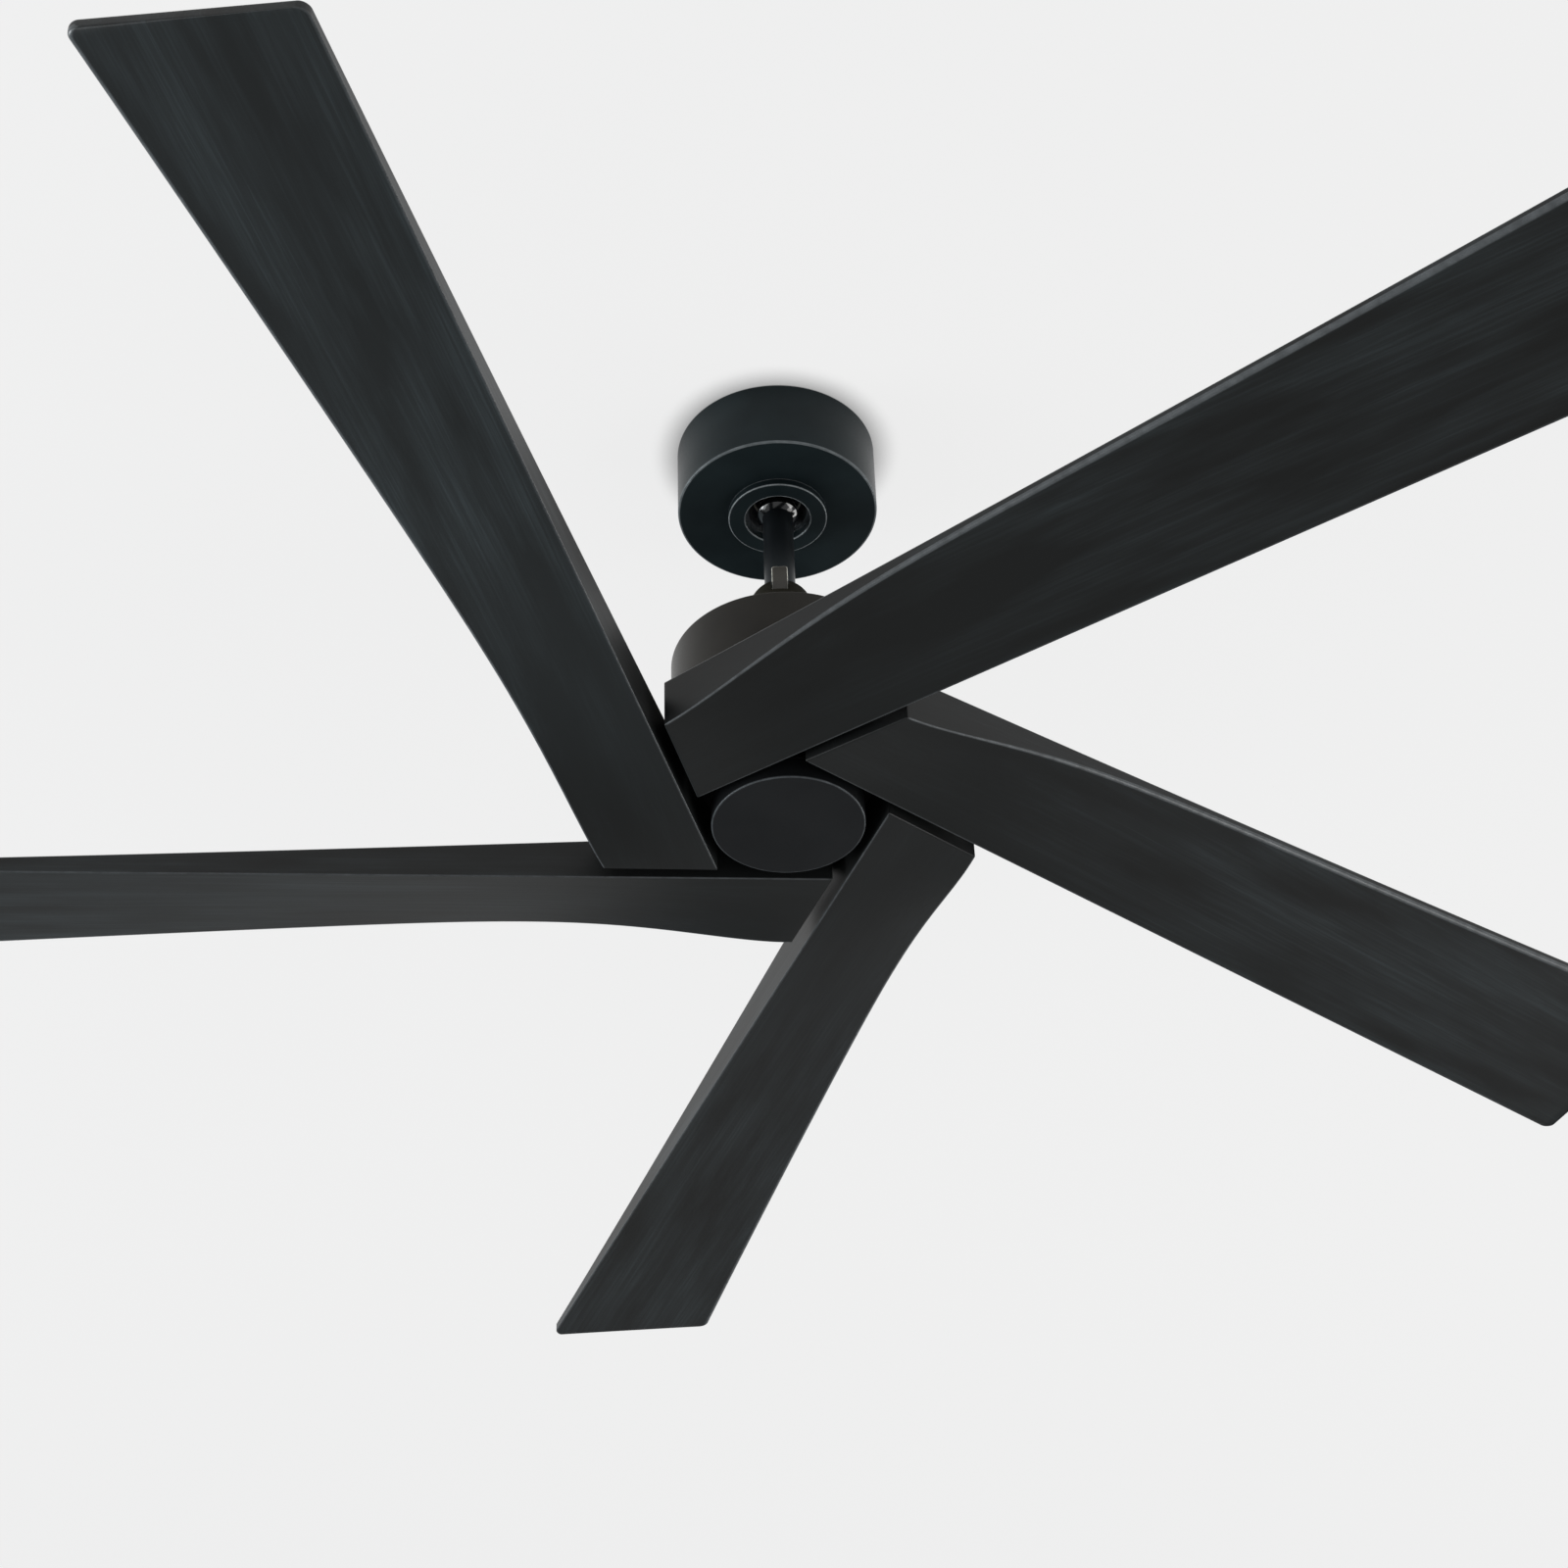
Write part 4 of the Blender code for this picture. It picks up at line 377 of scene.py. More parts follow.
def polished_black_nylon(name):
    """Turned and polished black nylon ball: a clear gloss with faint turning rings 2 mm apart."""
    finish, tree = new_finish(name)
    place = add_node(tree, COORDINATES).outputs["Object"]
    rings = add_node(tree, WAVE, {
        "Vector": place, "wave_type": "BANDS", "bands_direction": "Z",
        "Scale": WAVE_PERIOD / (2 * MM), "Distortion": 0.4,
    }).outputs["Fac"]
    colour = add_node(tree, MIX, {"data_type": "RGBA", 0: rings, 6: "08090a", 7: "0b0c0d"}).outputs[2]
    rough = add_node(tree, RANGE, {"Value": rings, "To Min": 0.10, "To Max": 0.14})
    normal = add_node(tree, BUMP, {"Height": rings, "Distance": 0.002 * MM, "Strength": 1.0})
    shader = add_node(tree, PRINCIPLED, {
        "Base Color": colour, "Roughness": rough, "Normal": normal, "IOR": 1.53,
    })
    add_node(tree, SURFACE, {"Surface": shader})
    return finish


def grained_metal(name, dark, light, rough_low, rough_high, grain, stretch=(1.0, 1.0, 1.0), depth=0.01 * MM):
    """Metal with a grain of the given size, drawn out by stretch, between two colours."""
    finish, tree = new_finish(name)
    place = add_node(tree, COORDINATES).outputs["Object"]
    drawn = add_node(tree, MAPPING, {"Vector": place, "Scale": stretch})
    grains = add_node(tree, NOISE, {"Vector": drawn, "Scale": 1 / grain, "Detail": 4.0, "Roughness": 0.6})
    cloud = add_node(tree, NOISE, {**CLOUDS, "Vector": place, "Scale": 1 / (12 * MM)})
    share = add_node(tree, RANGE, {**MIDDLE, "Value": grains})
    colour = add_node(tree, MIX, {"data_type": "RGBA", 0: share, 6: dark, 7: light}).outputs[2]
    rough = add_node(tree, RANGE, {**WIDER, "Value": cloud, "To Min": rough_low, "To Max": rough_high})
    normal = add_node(tree, BUMP, {"Height": grains, "Distance": depth, "Strength": 1.0})
    shader = add_node(tree, PRINCIPLED, {
        "Base Color": colour, "Roughness": rough, "Normal": normal, "Metallic": 1.0,
    })
    add_node(tree, SURFACE, {"Surface": shader})
    return finish


def layered_metal(name, dark, light, pitch, rough, twist=0.0):
    """Thin layers stacked along Z at the given pitch, such as core sheets or turns of wire."""
    finish, tree = new_finish(name)
    place = add_node(tree, COORDINATES).outputs["Object"]
    layers = add_node(tree, WAVE, {
        "Vector": place, "wave_type": "BANDS", "bands_direction": "Z",
        "Scale": WAVE_PERIOD / pitch, "Distortion": twist,
    }).outputs["Fac"]
    cloud = add_node(tree, NOISE, {**CLOUDS, "Vector": place, "Scale": 1 / (5 * MM)})
    colour = add_node(tree, MIX, {"data_type": "RGBA", 0: layers, 6: dark, 7: light}).outputs[2]
    rough = add_node(tree, RANGE, {**WIDER, "Value": cloud, "To Min": rough - 0.06, "To Max": rough + 0.06})
    normal = add_node(tree, BUMP, {"Height": layers, "Distance": 0.1 * pitch, "Strength": 1.0})
    shader = add_node(tree, PRINCIPLED, {
        "Base Color": colour, "Roughness": rough, "Normal": normal, "Metallic": 1.0,
    })
    add_node(tree, SURFACE, {"Surface": shader})
    return finish


def moulded(name, dark, light, rough, grain, ior=1.5):
    """Moulded or pressed non-metal with an even grain."""
    finish, tree = new_finish(name)
    place = add_node(tree, COORDINATES).outputs["Object"]
    grains = add_node(tree, NOISE, {"Vector": place, "Scale": 1 / grain, "Detail": 3.0, "Roughness": 0.6})
    cloud = add_node(tree, NOISE, {**CLOUDS, "Vector": place, "Scale": 1 / (20 * MM)})
    share = add_node(tree, RANGE, {**MIDDLE, "Value": cloud})
    colour = add_node(tree, MIX, {"data_type": "RGBA", 0: share, 6: dark, 7: light}).outputs[2]
    rough = add_node(tree, RANGE, {**WIDER, "Value": grains, "To Min": rough - 0.05, "To Max": rough + 0.05})
    normal = add_node(tree, BUMP, {"Height": grains, "Distance": 0.015 * MM, "Strength": 1.0})
    shader = add_node(tree, PRINCIPLED, {
        "Base Color": colour, "Roughness": rough, "Normal": normal, "IOR": ior,
    })
    add_node(tree, SURFACE, {"Surface": shader})
    return finish


def solder_masked_board(name):
    """Glass-fibre board under green solder mask: copper tracks show as a paler, raised mesh."""
    finish, tree = new_finish(name)
    place = add_node(tree, COORDINATES).outputs["Object"]
    cells = add_node(tree, CELLS, {
        "Vector": place, "feature": "DISTANCE_TO_EDGE", "distance": "EUCLIDEAN", "Scale": 1 / (7 * MM),
    }).outputs["Distance"]
    track = add_node(tree, RANGE, {
        "Value": cells, "From Min": 0.06, "From Max": 0.10, "To Min": 1.0, "To Max": 0.0,
    })
    colour = add_node(tree, MIX, {"data_type": "RGBA", 0: track, 6: "0c3a20", 7: "1f6a3c"}).outputs[2]
    normal = add_node(tree, BUMP, {"Height": track, "Distance": 0.035 * MM, "Strength": 1.0})
    shader = add_node(tree, PRINCIPLED, {
        "Base Color": colour, "Normal": normal, "IOR": 1.5, "Roughness": 0.32,
    })
    add_node(tree, SURFACE, {"Surface": shader})
    return finish


# Steel and castings under black powder coat: near black, with a soft even sheen. The ceiling pieces
# are coolest, the motor is warmer, and the coupling's casting is a brown grey, lighter than its coat
# as painted reflection. Each coat's paler edge colour is partly wear and partly painted highlight
CANOPY_COAT = powder_coated("powder_coated_pressed_steel", "0f1517", "151c1e", 0.32, 1.21, "585c5e", "e6f5fa")
RING_COAT = powder_coated("powder_coated_trim_ring", "0b1113", "11181a", 0.32, 1.30, "6c7072", "e0f4fa")
MOTOR_COAT = powder_coated(
    "powder_coated_aluminium_shell", "191817", "1f1e1c", 0.32, 1.23, "2c2b28", "fff8ec")
COVER_COAT = powder_coated("powder_coated_coupling_cover", "181713", "1c1b16", 0.60, 1.14, "25241f", "fff2dc")
CAP_COAT = powder_coated("powder_coated_cap", "0a0b0c", "0e0f10", 0.44, 1.28, "3c3f41", "f4f8ff")
ROD_COAT = powder_coated("powder_coated_pipe", "080a0c", "0c0e10", 0.32, 1.34, "202224", "e4f6ff")
# Hub: darker than black coat, as painted shade for the deep gaps between the blade roots
HUB_COAT_AS_GAP_SHADE = powder_coated("powder_coated_hub_casting_painted_shade", "030303", "050505", 0.60, 1.2)
# Coupling ears: a brown grey lighter than black coat, as painted reflection of the light on their flat faces,
# and very pale edges as painted highlight
EAR_COAT_AND_REFLECTION = powder_coated("powder_coated_coupling_casting_painted_reflection", "2a2823", "34312b", 0.36, 1.42, "c4c2b8")
# Blades: satin black with long streaks that catch the light
BLADE_PAINT = brushed_blade_paint("rubbed_and_sprayed_abs_blade")
# Ball: the one bright gloss, deep in the canopy
BALL_NYLON = polished_black_nylon("polished_black_nylon")
# Metal grain is finer than 0.2 mm in these; each is drawn several times coarser, so that it shows.
# Zinc plate over pressed steel, with a faint drawn grain along the sheet: a cool grey darker than
# bright zinc, as painted shade for the unlit inside of the canopy
ZINC_PLATE_IN_PAINTED_SHADE = grained_metal(
    "zinc_plated_pressed_steel_painted_shade", "5f6265", "7f8285", 0.34, 0.48, 0.8 * MM, (1.0, 0.08, 1.0))
# Bright fasteners and the shaft: steel turned on a lathe, with fine level rings round an upright piece
TURNED_STEEL = grained_metal(
    "turned_bright_steel", "8d8e90", "b9babb", 0.20, 0.32, 0.5 * MM, (0.1, 0.1, 1.0))
# Die-cast rotor covers: a dull, slightly grainy silver
CAST_ALUMINIUM = grained_metal(
    "die_cast_aluminium", "8b8d8f", "a2a4a6", 0.42, 0.55, 1.2 * MM, depth=0.03 * MM)
# Stator core: a stack of 0.5 mm electrical steel sheets, drawn at 1 mm so that they show
CORE_SHEETS = layered_metal("stacked_core_sheets", "3c3f43", "5c6064", 1.0 * MM, 0.45)
# Winding: enamelled copper wire, 0.8 mm thick, drawn at 1.2 mm so that it shows, a little uneven
ENAMELLED_COPPER = layered_metal("enamelled_copper_wire", "5e2611", "b45a2b", 1.2 * MM, 0.32, 0.8)
# Magnets: pressed and sintered ferrite, a dull charcoal with a fine even grit, drawn at 0.6 mm so
# that it shows
FERRITE = moulded("pressed_sintered_ferrite", "25262a", "303135", 0.60, 0.6 * MM)
# Driver board: dark green gloss with paler raised tracks
BOARD = solder_masked_board("solder_masked_glass_fibre")
# Receiver and cap carrier: ABS moulded in a spark-eroded tool, a soft black with an even texture,
# drawn at 0.9 mm so that it shows
BLACK_ABS = moulded("spark_textured_black_abs", "141515", "191a1b", 0.46, 0.9 * MM)
# Socket liner: moulded nylon, a milky off-white with a waxy sheen and a faint even grain
WHITE_NYLON = moulded("moulded_white_nylon", "bdbab0", "cbc8be", 0.42, 1.2 * MM, 1.53)

CAD_FINISHES = {
    "hanger_bracket": ZINC_PLATE_IN_PAINTED_SHADE,
    "socket_liner": WHITE_NYLON,
    "receiver_module": BLACK_ABS,
    "cap_carrier": BLACK_ABS,
    "driver_board": BOARD,
    "stator_core": CORE_SHEETS,
    "stator_winding": ENAMELLED_COPPER,
    "magnet_ring": FERRITE,
    "rotor_upper_cover": CAST_ALUMINIUM,
    "rotor_lower_cover": CAST_ALUMINIUM,
    "blade_hub": HUB_COAT_AS_GAP_SHADE,
}


# ---------------------------------------------------------------- shapes

def level(height):
    """World Z of a height measured up from the blade roots' undersides."""
    return height - CEILING_TO_BLADES


def grid_faces(rows, columns, wrap_rows):
    """Quads between neighbouring points of a grid whose columns close into loops."""
    i = np.arange(rows if wrap_rows else rows - 1)[:, None]
    j = np.arange(columns)[None, :]
    nxt_i, nxt_j = (i + 1) % rows, (j + 1) % columns
    corners = (i * columns + j, i * columns + nxt_j, nxt_i * columns + nxt_j, nxt_i * columns + j)
    return np.stack([c + np.zeros_like(i * j) for c in corners], -1).reshape(-1, 4)


def skin(name, points, wrap_rows=False, cap_ends=False, marks=None):
    """A mesh over a grid of points, rows by columns, with its poles merged and faces turned out.

    The ends may be capped with one flat face each. Marks are vectors or numbers at the points, kept
    as attributes under their names.
    """
    rows, columns = points.shape[:2]
    faces = grid_faces(rows, columns, wrap_rows).tolist()
    if cap_ends:
        faces += [np.arange(columns).tolist(), (np.arange(columns) + (rows - 1) * columns).tolist()]
    mesh = bpy.data.meshes.new(name)
    mesh.from_pydata(points.reshape(-1, 3), [], faces)
    for mark, values in (marks or {}).items():
        kind, key = ("FLOAT_VECTOR", "vector") if values.shape[-1] == 3 else ("FLOAT", "value")
        attribute = mesh.attributes.new(mark, kind, "POINT")
        attribute.data.foreach_set(key, values.astype(np.float32).ravel())
    tidy = bmesh.new()
    tidy.from_mesh(mesh)
    bmesh.ops.remove_doubles(tidy, verts=tidy.verts, dist=MERGE_DISTANCE)
    bmesh.ops.recalc_face_normals(tidy, faces=tidy.faces)
    tidy.to_mesh(mesh)
    tidy.free()
    return mesh


def stand(name, mesh, finish, body, slot, *nodes):
    """Put a piece into the scene in place of CAD nodes, riding on a body."""
    piece = bpy.data.objects.new(name, mesh)
    bpy.context.scene.collection.objects.link(piece)
    mesh.materials.clear()
    mesh.materials.append(finish)
    mesh.shade_smooth()
    mesh.set_sharp_from_angle(angle=CREASE_ANGLE)
    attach(piece, body)
    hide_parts(*nodes)


def rounded(corners, radii, closed=True):
    """A profile with its corners rounded, as radius, height and wear, which is 1 on the arcs; the wear
    also marks where the edges are painted with a highlight.

    At each corner the arc touches both sides: its ends lie radius / tan(half the corner's angle)
    from the corner. A point is added a little beyond each end, which keeps the flats flat, and a
    corner of radius zero stays as it is. An open profile keeps its first and last points.
    """
    corners, radii = np.array(corners), np.array(radii, float)[:, None]
    before, after = np.roll(corners, 1, 0), np.roll(corners, -1, 0)
    length_in = np.linalg.norm(before - corners, axis=1, keepdims=True)
    length_out = np.linalg.norm(after - corners, axis=1, keepdims=True)
    to_before, to_after = (before - corners) / length_in, (after - corners) / length_out
    half = np.arccos(np.clip((to_before * to_after).sum(1, keepdims=True), -1.0, 1.0)) / 2
    half = np.clip(half, *HALF_ANGLES)
    reach = radii / np.tan(half)
    middle = to_before + to_after
    middle /= np.maximum(np.linalg.norm(middle, axis=1, keepdims=True), LEAST_LENGTH)
    centre = corners + middle * radii / np.sin(half)
    start, end = corners + to_before * reach - centre, corners + to_after * reach - centre
    sweep = (math.pi - 2 * half)[:, None]
    step = np.linspace(0.0, 1.0, EDGE_POINTS)[None, :, None]
    arcs = np.sin((1 - step) * sweep) * start[:, None] + np.sin(step * sweep) * end[:, None]
    arcs = centre[:, None] + arcs / np.sin(sweep)
    flat_in, flat_out = length_in - reach - np.roll(reach, 1, 0), length_out - reach - np.roll(reach, -1, 0)
    keep_in = np.clip(flat_in * FLAT_KEEPER_SHARE, 0.0, FLAT_KEEPER)
    keep_out = np.clip(flat_out * FLAT_KEEPER_SHARE, 0.0, FLAT_KEEPER)
    lead = (corners + to_before * (reach + keep_in))[:, None]
    tail = (corners + to_after * (reach + keep_out))[:, None]
    points = np.concatenate([lead, arcs, tail], 1)
    sharp = radii[:, 0] <= 0
    points[sharp] = corners[sharp][:, None]
    wear = np.zeros((*points.shape[:2], 1))
    wear[~sharp, 1:-1] = 1.0
    points = np.concatenate([points, wear], -1)
    wanted = np.ones(points.shape[:2], bool)
    wanted[sharp, 1:] = False
    if not closed:
        points[[0, -1], :, :2] = corners[[0, -1]][:, None]
        wanted[[0, -1], 1:] = False
    return points[wanted]


def turned(name, profile, steps=FINE_STEPS, closed=True, base=0.0):
    """A profile (r, z) turned about Z: the point at angle a is (r cos a, r sin a, z + base)."""
    angle = np.linspace(0.0, math.tau, steps, endpoint=False)
    r, z = profile[:, :1], profile[:, 1:2] + base
    points = np.stack([r * np.cos(angle), r * np.sin(angle), z + np.zeros(steps)], -1)
    wear = np.tile(profile[:, 2:3] if profile.shape[1] > 2 else 0 * r, (1, steps))
    return skin(name, points, wrap_rows=closed, marks={"edge_wear_and_highlight": wear[..., None]})


def arc(centre_r, centre_z, radius, start, end, count):
    """Points on an arc in the profile plane; angles are measured up from +X."""
    a = np.linspace(start, end, count)
    return np.stack([centre_r + radius * np.cos(a), centre_z + radius * np.sin(a)], -1)


def cut_box(mesh, size, place):
    """Cut a box out of a mesh and return the result."""
    helpers = []
    for data in (mesh, bpy.data.meshes.new("cutter")):
        helpers.append(bpy.data.objects.new("helper", data))
        bpy.context.scene.collection.objects.link(helpers[-1])
    block = bmesh.new()
    bmesh.ops.create_cube(block, size=1.0, matrix=Matrix.Translation(place) @ Matrix.Diagonal((*size, 1.0)))
    block.to_mesh(helpers[1].data)
    block.free()
    step = helpers[0].modifiers.new("cut", "BOOLEAN")
    step.object, step.solver, step.operation = helpers[1], "EXACT", "DIFFERENCE"
    bpy.context.view_layer.update()
    graph = bpy.context.evaluated_depsgraph_get()
    result = bpy.data.meshes.new_from_object(helpers[0].evaluated_get(graph))
    for helper in helpers:
        bpy.data.objects.remove(helper, do_unlink=True)
    return result


# ---------------------------------------------------------------- blades

def blade_angle(number):
    """How far a blade is turned about Z from the first one's frame."""
    return FIRST_BLADE_ANGLE + math.tau * number / BLADE_COUNT


def root_line(across):
    """Where the root's end face lies: parallel to the next blade's inner edge."""
    turn = math.tau / BLADE_COUNT
    return (across * math.cos(turn) - (HUB_EDGE_OFFSET - ROOT_GAP)) / math.sin(turn)


def blade_stations():
    """Share of the way out, and the inset across and up, of each section.

    At the root the edge is a quarter round of END_EDGE_RADIUS, at the tip the corners are quarter
    rounds of TIP_CORNER_RADIUS in plan and the edge one of END_EDGE_RADIUS.
    """
    length = BLADE_REACH - root_line(HUB_EDGE_OFFSET)
    turn = np.linspace(0.0, math.pi / 2, EDGE_POINTS)
    root_run = END_EDGE_RADIUS * (1 - np.cos(turn))
    root_inset = END_EDGE_RADIUS * (1 - np.sin(turn))
    crowded = np.linspace(0.0, 1.0, BODY_SECTIONS)[1:] ** SECTION_CROWDING
    body_run = END_EDGE_RADIUS + (length - END_EDGE_RADIUS - TIP_CORNER_RADIUS) * crowded
    tip_turn = np.linspace(0.0, math.pi / 2, TIP_SECTIONS)[1:]
    tip_run = length - TIP_CORNER_RADIUS * (1 - np.sin(tip_turn))
    run = np.concatenate([root_run, body_run, tip_run])
    from_tip = np.clip((run - length + TIP_CORNER_RADIUS) / TIP_CORNER_RADIUS, 0.0, 1.0)
    from_end = np.clip((run - length + END_EDGE_RADIUS) / END_EDGE_RADIUS, 0.0, 1.0)
    across = TIP_CORNER_RADIUS * (1 - np.sqrt(1 - from_tip ** 2))
    up = END_EDGE_RADIUS * (1 - np.sqrt(1 - from_end ** 2))
    across[:EDGE_POINTS] = up[:EDGE_POINTS] = root_inset
    return run / length, across, up


def blade_corners():
    """Across, along and height of the four edges at each station: whole arrays, stations by four.

    The outer edge swings out by spread (run + bend run (run - 1)) and rises by
    rise (1 - exp(-(s / length) ^ power)); the hub-side wall falls from the root's height to the
    tip's thickness as left ^ power, where left is the share of the fall's length still to go.
    """
    share, inset_across, inset_up = blade_stations()
    inner_start, outer_start = root_line(HUB_EDGE_OFFSET), root_line(HUB_EDGE_OFFSET + ROOT_WIDTH)
    inner_along = inner_start + (BLADE_REACH - inner_start) * share
    outer_along = outer_start + (BLADE_REACH - outer_start) * share
    swing = share + SPREAD_BEND_SHARE * share * (share - 1)
    outer = HUB_EDGE_OFFSET + ROOT_WIDTH + OUTER_EDGE_SPREAD * swing - inset_across
    inner = HUB_EDGE_OFFSET + HUB_EDGE_DRIFT * share + inset_across
    travelled = np.maximum(outer_along - outer_start, 0.0) / RISE_LENGTH
    rise = OUTER_EDGE_RISE * (1 - np.exp(-travelled ** RISE_POWER))
    left = np.clip((BLADE_REACH - inner_along) / (BLADE_REACH - WALL_FALL_START), 0.0, 1.0)
    wall = TIP_THICKNESS + (ROOT_HEIGHT - TIP_THICKNESS) * left ** WALL_FALL_POWER
    top = np.full_like(share, ROOT_HEIGHT) - inset_up
    across = np.stack([inner, outer, outer, inner], -1)
    up = np.stack([inset_up, rise + inset_up, top, wall - inset_up], -1)
    return across, up, inner_along, outer_along


def blade_loops():
    """Each station's loop: four arcs with points between them, as (across, along, height).

    The lower outer arc's radius grows outwards by softening (1 - exp(-(s / length)^2)).
    """
    across, up, inner_along, outer_along = blade_corners()
    corner = np.stack([across, up], -1)
    before, after = np.roll(corner, 1, 1), np.roll(corner, -1, 1)
    to_before = (before - corner) / np.linalg.norm(before - corner, axis=-1, keepdims=True)
    to_after = (after - corner) / np.linalg.norm(after - corner, axis=-1, keepdims=True)
    half = np.arccos((to_before * to_after).sum(-1, keepdims=True)) / 2
    radius = np.tile(BLADE_EDGE_RADII, (len(corner), 1))
    outwards = (outer_along - outer_along[0]) / SOFTENING_LENGTH
    radius[:, 1] += OUTER_EDGE_SOFTENING * (1 - np.exp(-outwards ** 2))
    radius = radius[:, :, None]
    reach = radius / np.tan(half)
    middle = to_before + to_after
    centre = corner + middle / np.linalg.norm(middle, axis=-1, keepdims=True) * radius / np.sin(half)
    start, end = corner + to_before * reach, corner + to_after * reach
    sweep = (math.pi - 2 * half)[:, :, None]
    step = np.linspace(0.0, 1.0, EDGE_POINTS + 1)[None, None, :, None]
    arcs = np.sin((1 - step) * sweep) * (start - centre)[:, :, None]
    arcs = centre[:, :, None] + (arcs + np.sin(step * sweep) * (end - centre)[:, :, None]) / np.sin(sweep)
    fill = SIDE_SHARES[None, None, :, None]
    sides = end[:, :, None] * (1 - fill) + np.roll(start, -1, 1)[:, :, None] * fill
    loop = np.concatenate([arcs, sides], 2)
    loop = loop.reshape(len(loop), -1, 2)
    inner, outer = across[:, :1], across[:, 1:2]
    across_share = (loop[..., 0] - inner) / (outer - inner)
    along = inner_along[:, None] * (1 - across_share) + outer_along[:, None] * across_share
    return np.stack([loop[..., 0], along, loop[..., 1]], -1)


def blade_wear_and_highlight(loops):
    """Wear and painted highlight of each point: that of its edge on the edge's arc, and none on the sides
    and end faces.
    """
    per_edge = loops.shape[1] // len(BLADE_EDGE_WEAR_AND_HIGHLIGHT)
    on_arc = np.arange(loops.shape[1]) % per_edge <= EDGE_POINTS
    wear = np.tile((np.repeat(BLADE_EDGE_WEAR_AND_HIGHLIGHT, per_edge) * on_arc)[:, None], (len(loops), 1, 1))
    wear[:EDGE_POINTS] = wear[-1] = 0.0
    return wear


def make_blades():
    """Five like blades, turned about Z by their own angles: x cos a - y sin a, x sin a + y cos a."""
    loops = blade_loops()
    wear = blade_wear_and_highlight(loops)
    across, along, up = loops[..., 0], loops[..., 1], level(loops[..., 2])
    for number in range(BLADE_COUNT):
        cos, sin = math.cos(blade_angle(number)), math.sin(blade_angle(number))
        spun = np.stack([across * cos - along * sin, across * sin + along * cos, up], -1)
        marks = {"blade_place": loops + STREAK_SHIFT * number, "edge_wear_and_highlight": wear}
        name = f"lofted_blade_{number + 1}"
        mesh = skin(name, spun, cap_ends=True, marks=marks)
        stand(name, mesh, BLADE_PAINT, "rotor", "blade_black", f"blade_{number + 1}")


# ---------------------------------------------------------------- screws

def pan_screw(name, node, body, sizes, place):
    """A pan-head screw with a cross recess, standing on its seat at place.

    The head is z = height sqrt(1 - crown (r/R)^2) over its top, less the recess, whose depth falls
    with r and is cut where |x| or |y| is under its half width; below it the shank is a plain turn.
    """
    head_radius, head_height, shank_radius, length = sizes
    angle = np.linspace(0.0, math.tau, SCREW_STEPS, endpoint=False)
    share = np.linspace(0.0, 1.0, HEAD_RINGS)[:, None]
    r = head_radius * share
    z = head_height * np.sqrt(1 - HEAD_CROWN * share ** 2) + 0 * angle
    x, y = r * np.cos(angle), r * np.sin(angle)
    wide = CROSS_HALF_WIDTH * head_radius
    from_cross = np.minimum(np.abs(x), np.abs(y))
    inside = np.clip((wide - from_cross) / (CROSS_SLOPE * wide), 0.0, 1.0)
    falling = np.clip(CROSS_STEEPNESS * (CROSS_REACH - share) / CROSS_REACH, 0.0, 1.0)
    z -= inside * CROSS_DEPTH * head_height * falling
    shank = np.array([
        (head_radius, 0.0), (shank_radius, 0.0), (shank_radius, SHANK_CHAMFER_RUN - length),
        (shank_radius - SHANK_CHAMFER_DEPTH, -length), (0.0, -length),
    ])
    x = np.concatenate([x, shank[:, :1] * np.cos(angle)])
    y = np.concatenate([y, shank[:, :1] * np.sin(angle)])
    z = np.concatenate([z, shank[:, 1:] + 0 * angle])
    points = np.stack([x, y, z], -1) + np.array(place)
    stand(name, skin(name, points), TURNED_STEEL, body, "bare_steel", node)


def make_screws():
    """Blade and coupling screws, each in place of its CAD node."""
    for number in range(BLADE_COUNT):
        cos, sin = math.cos(blade_angle(number)), math.sin(blade_angle(number))
        for letter, (across, along) in zip("abc", BLADE_SCREW_SPOTS):
            place = (across * cos - along * sin, across * sin + along * cos, level(HUB_SEAT_H + FIT_GAP))
            label = f"{number + 1}{letter}"
            pan_screw(f"blade_pan_screw_{label}", f"blade_screw_{label}", "rotor", BLADE_SCREW, place)
    for number in range(1, COUPLING_SCREW_COUNT + 1):
        node = NODES[f"coupling_screw_{number}"]
        low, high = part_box(node.name)
        place = ((low.x + high.x) / 2, (low.y + high.y) / 2, high.z - COUPLING_SCREW[1])
        pan_screw(f"coupling_pan_screw_{number}", node.name, "hanging_unit", COUPLING_SCREW, place)


# ---------------------------------------------------------------- shells

def make_canopy():
    """Round open-topped shell with a rolled lower edge."""
    inner, top = CANOPY_RADIUS - CANOPY_WALL, -CEILING_GAP
    low, floor = -CANOPY_HEIGHT, CANOPY_WALL - CANOPY_HEIGHT
    corners = [(inner, top), (CANOPY_RADIUS, top), (CANOPY_RADIUS, low), (CANOPY_HOLE_RADIUS, low),
               (CANOPY_HOLE_RADIUS, floor), (inner, floor)]
    mesh = turned("canopy_shell", rounded(corners, CANOPY_EDGE_RADII))
    stand("canopy_shell", mesh, CANOPY_COAT, "ceiling_mount", "black_coat", "canopy")


def make_trim_ring():
    """Channel ring round the canopy's hole: a flat face between a short outer and a long inner wall."""
    seat, floor = -CANOPY_HEIGHT - FIT_GAP, CANOPY_WALL - CANOPY_HEIGHT
    low = -CANOPY_HEIGHT - RING_DROP
    inside, outside, back = RING_HOLE_RADIUS + RING_WALL, RING_RADIUS - RING_WALL, low + RING_WALL
    corners = [(outside, seat), (RING_RADIUS, seat), (RING_RADIUS, low), (RING_HOLE_RADIUS, low),
               (RING_HOLE_RADIUS, floor), (inside, floor), (inside, back), (outside, back)]
    mesh = turned("canopy_trim_ring", rounded(corners, RING_EDGE_RADII))
    stand("canopy_trim_ring", mesh, RING_COAT, "ceiling_mount", "black_coat", "canopy_ring")


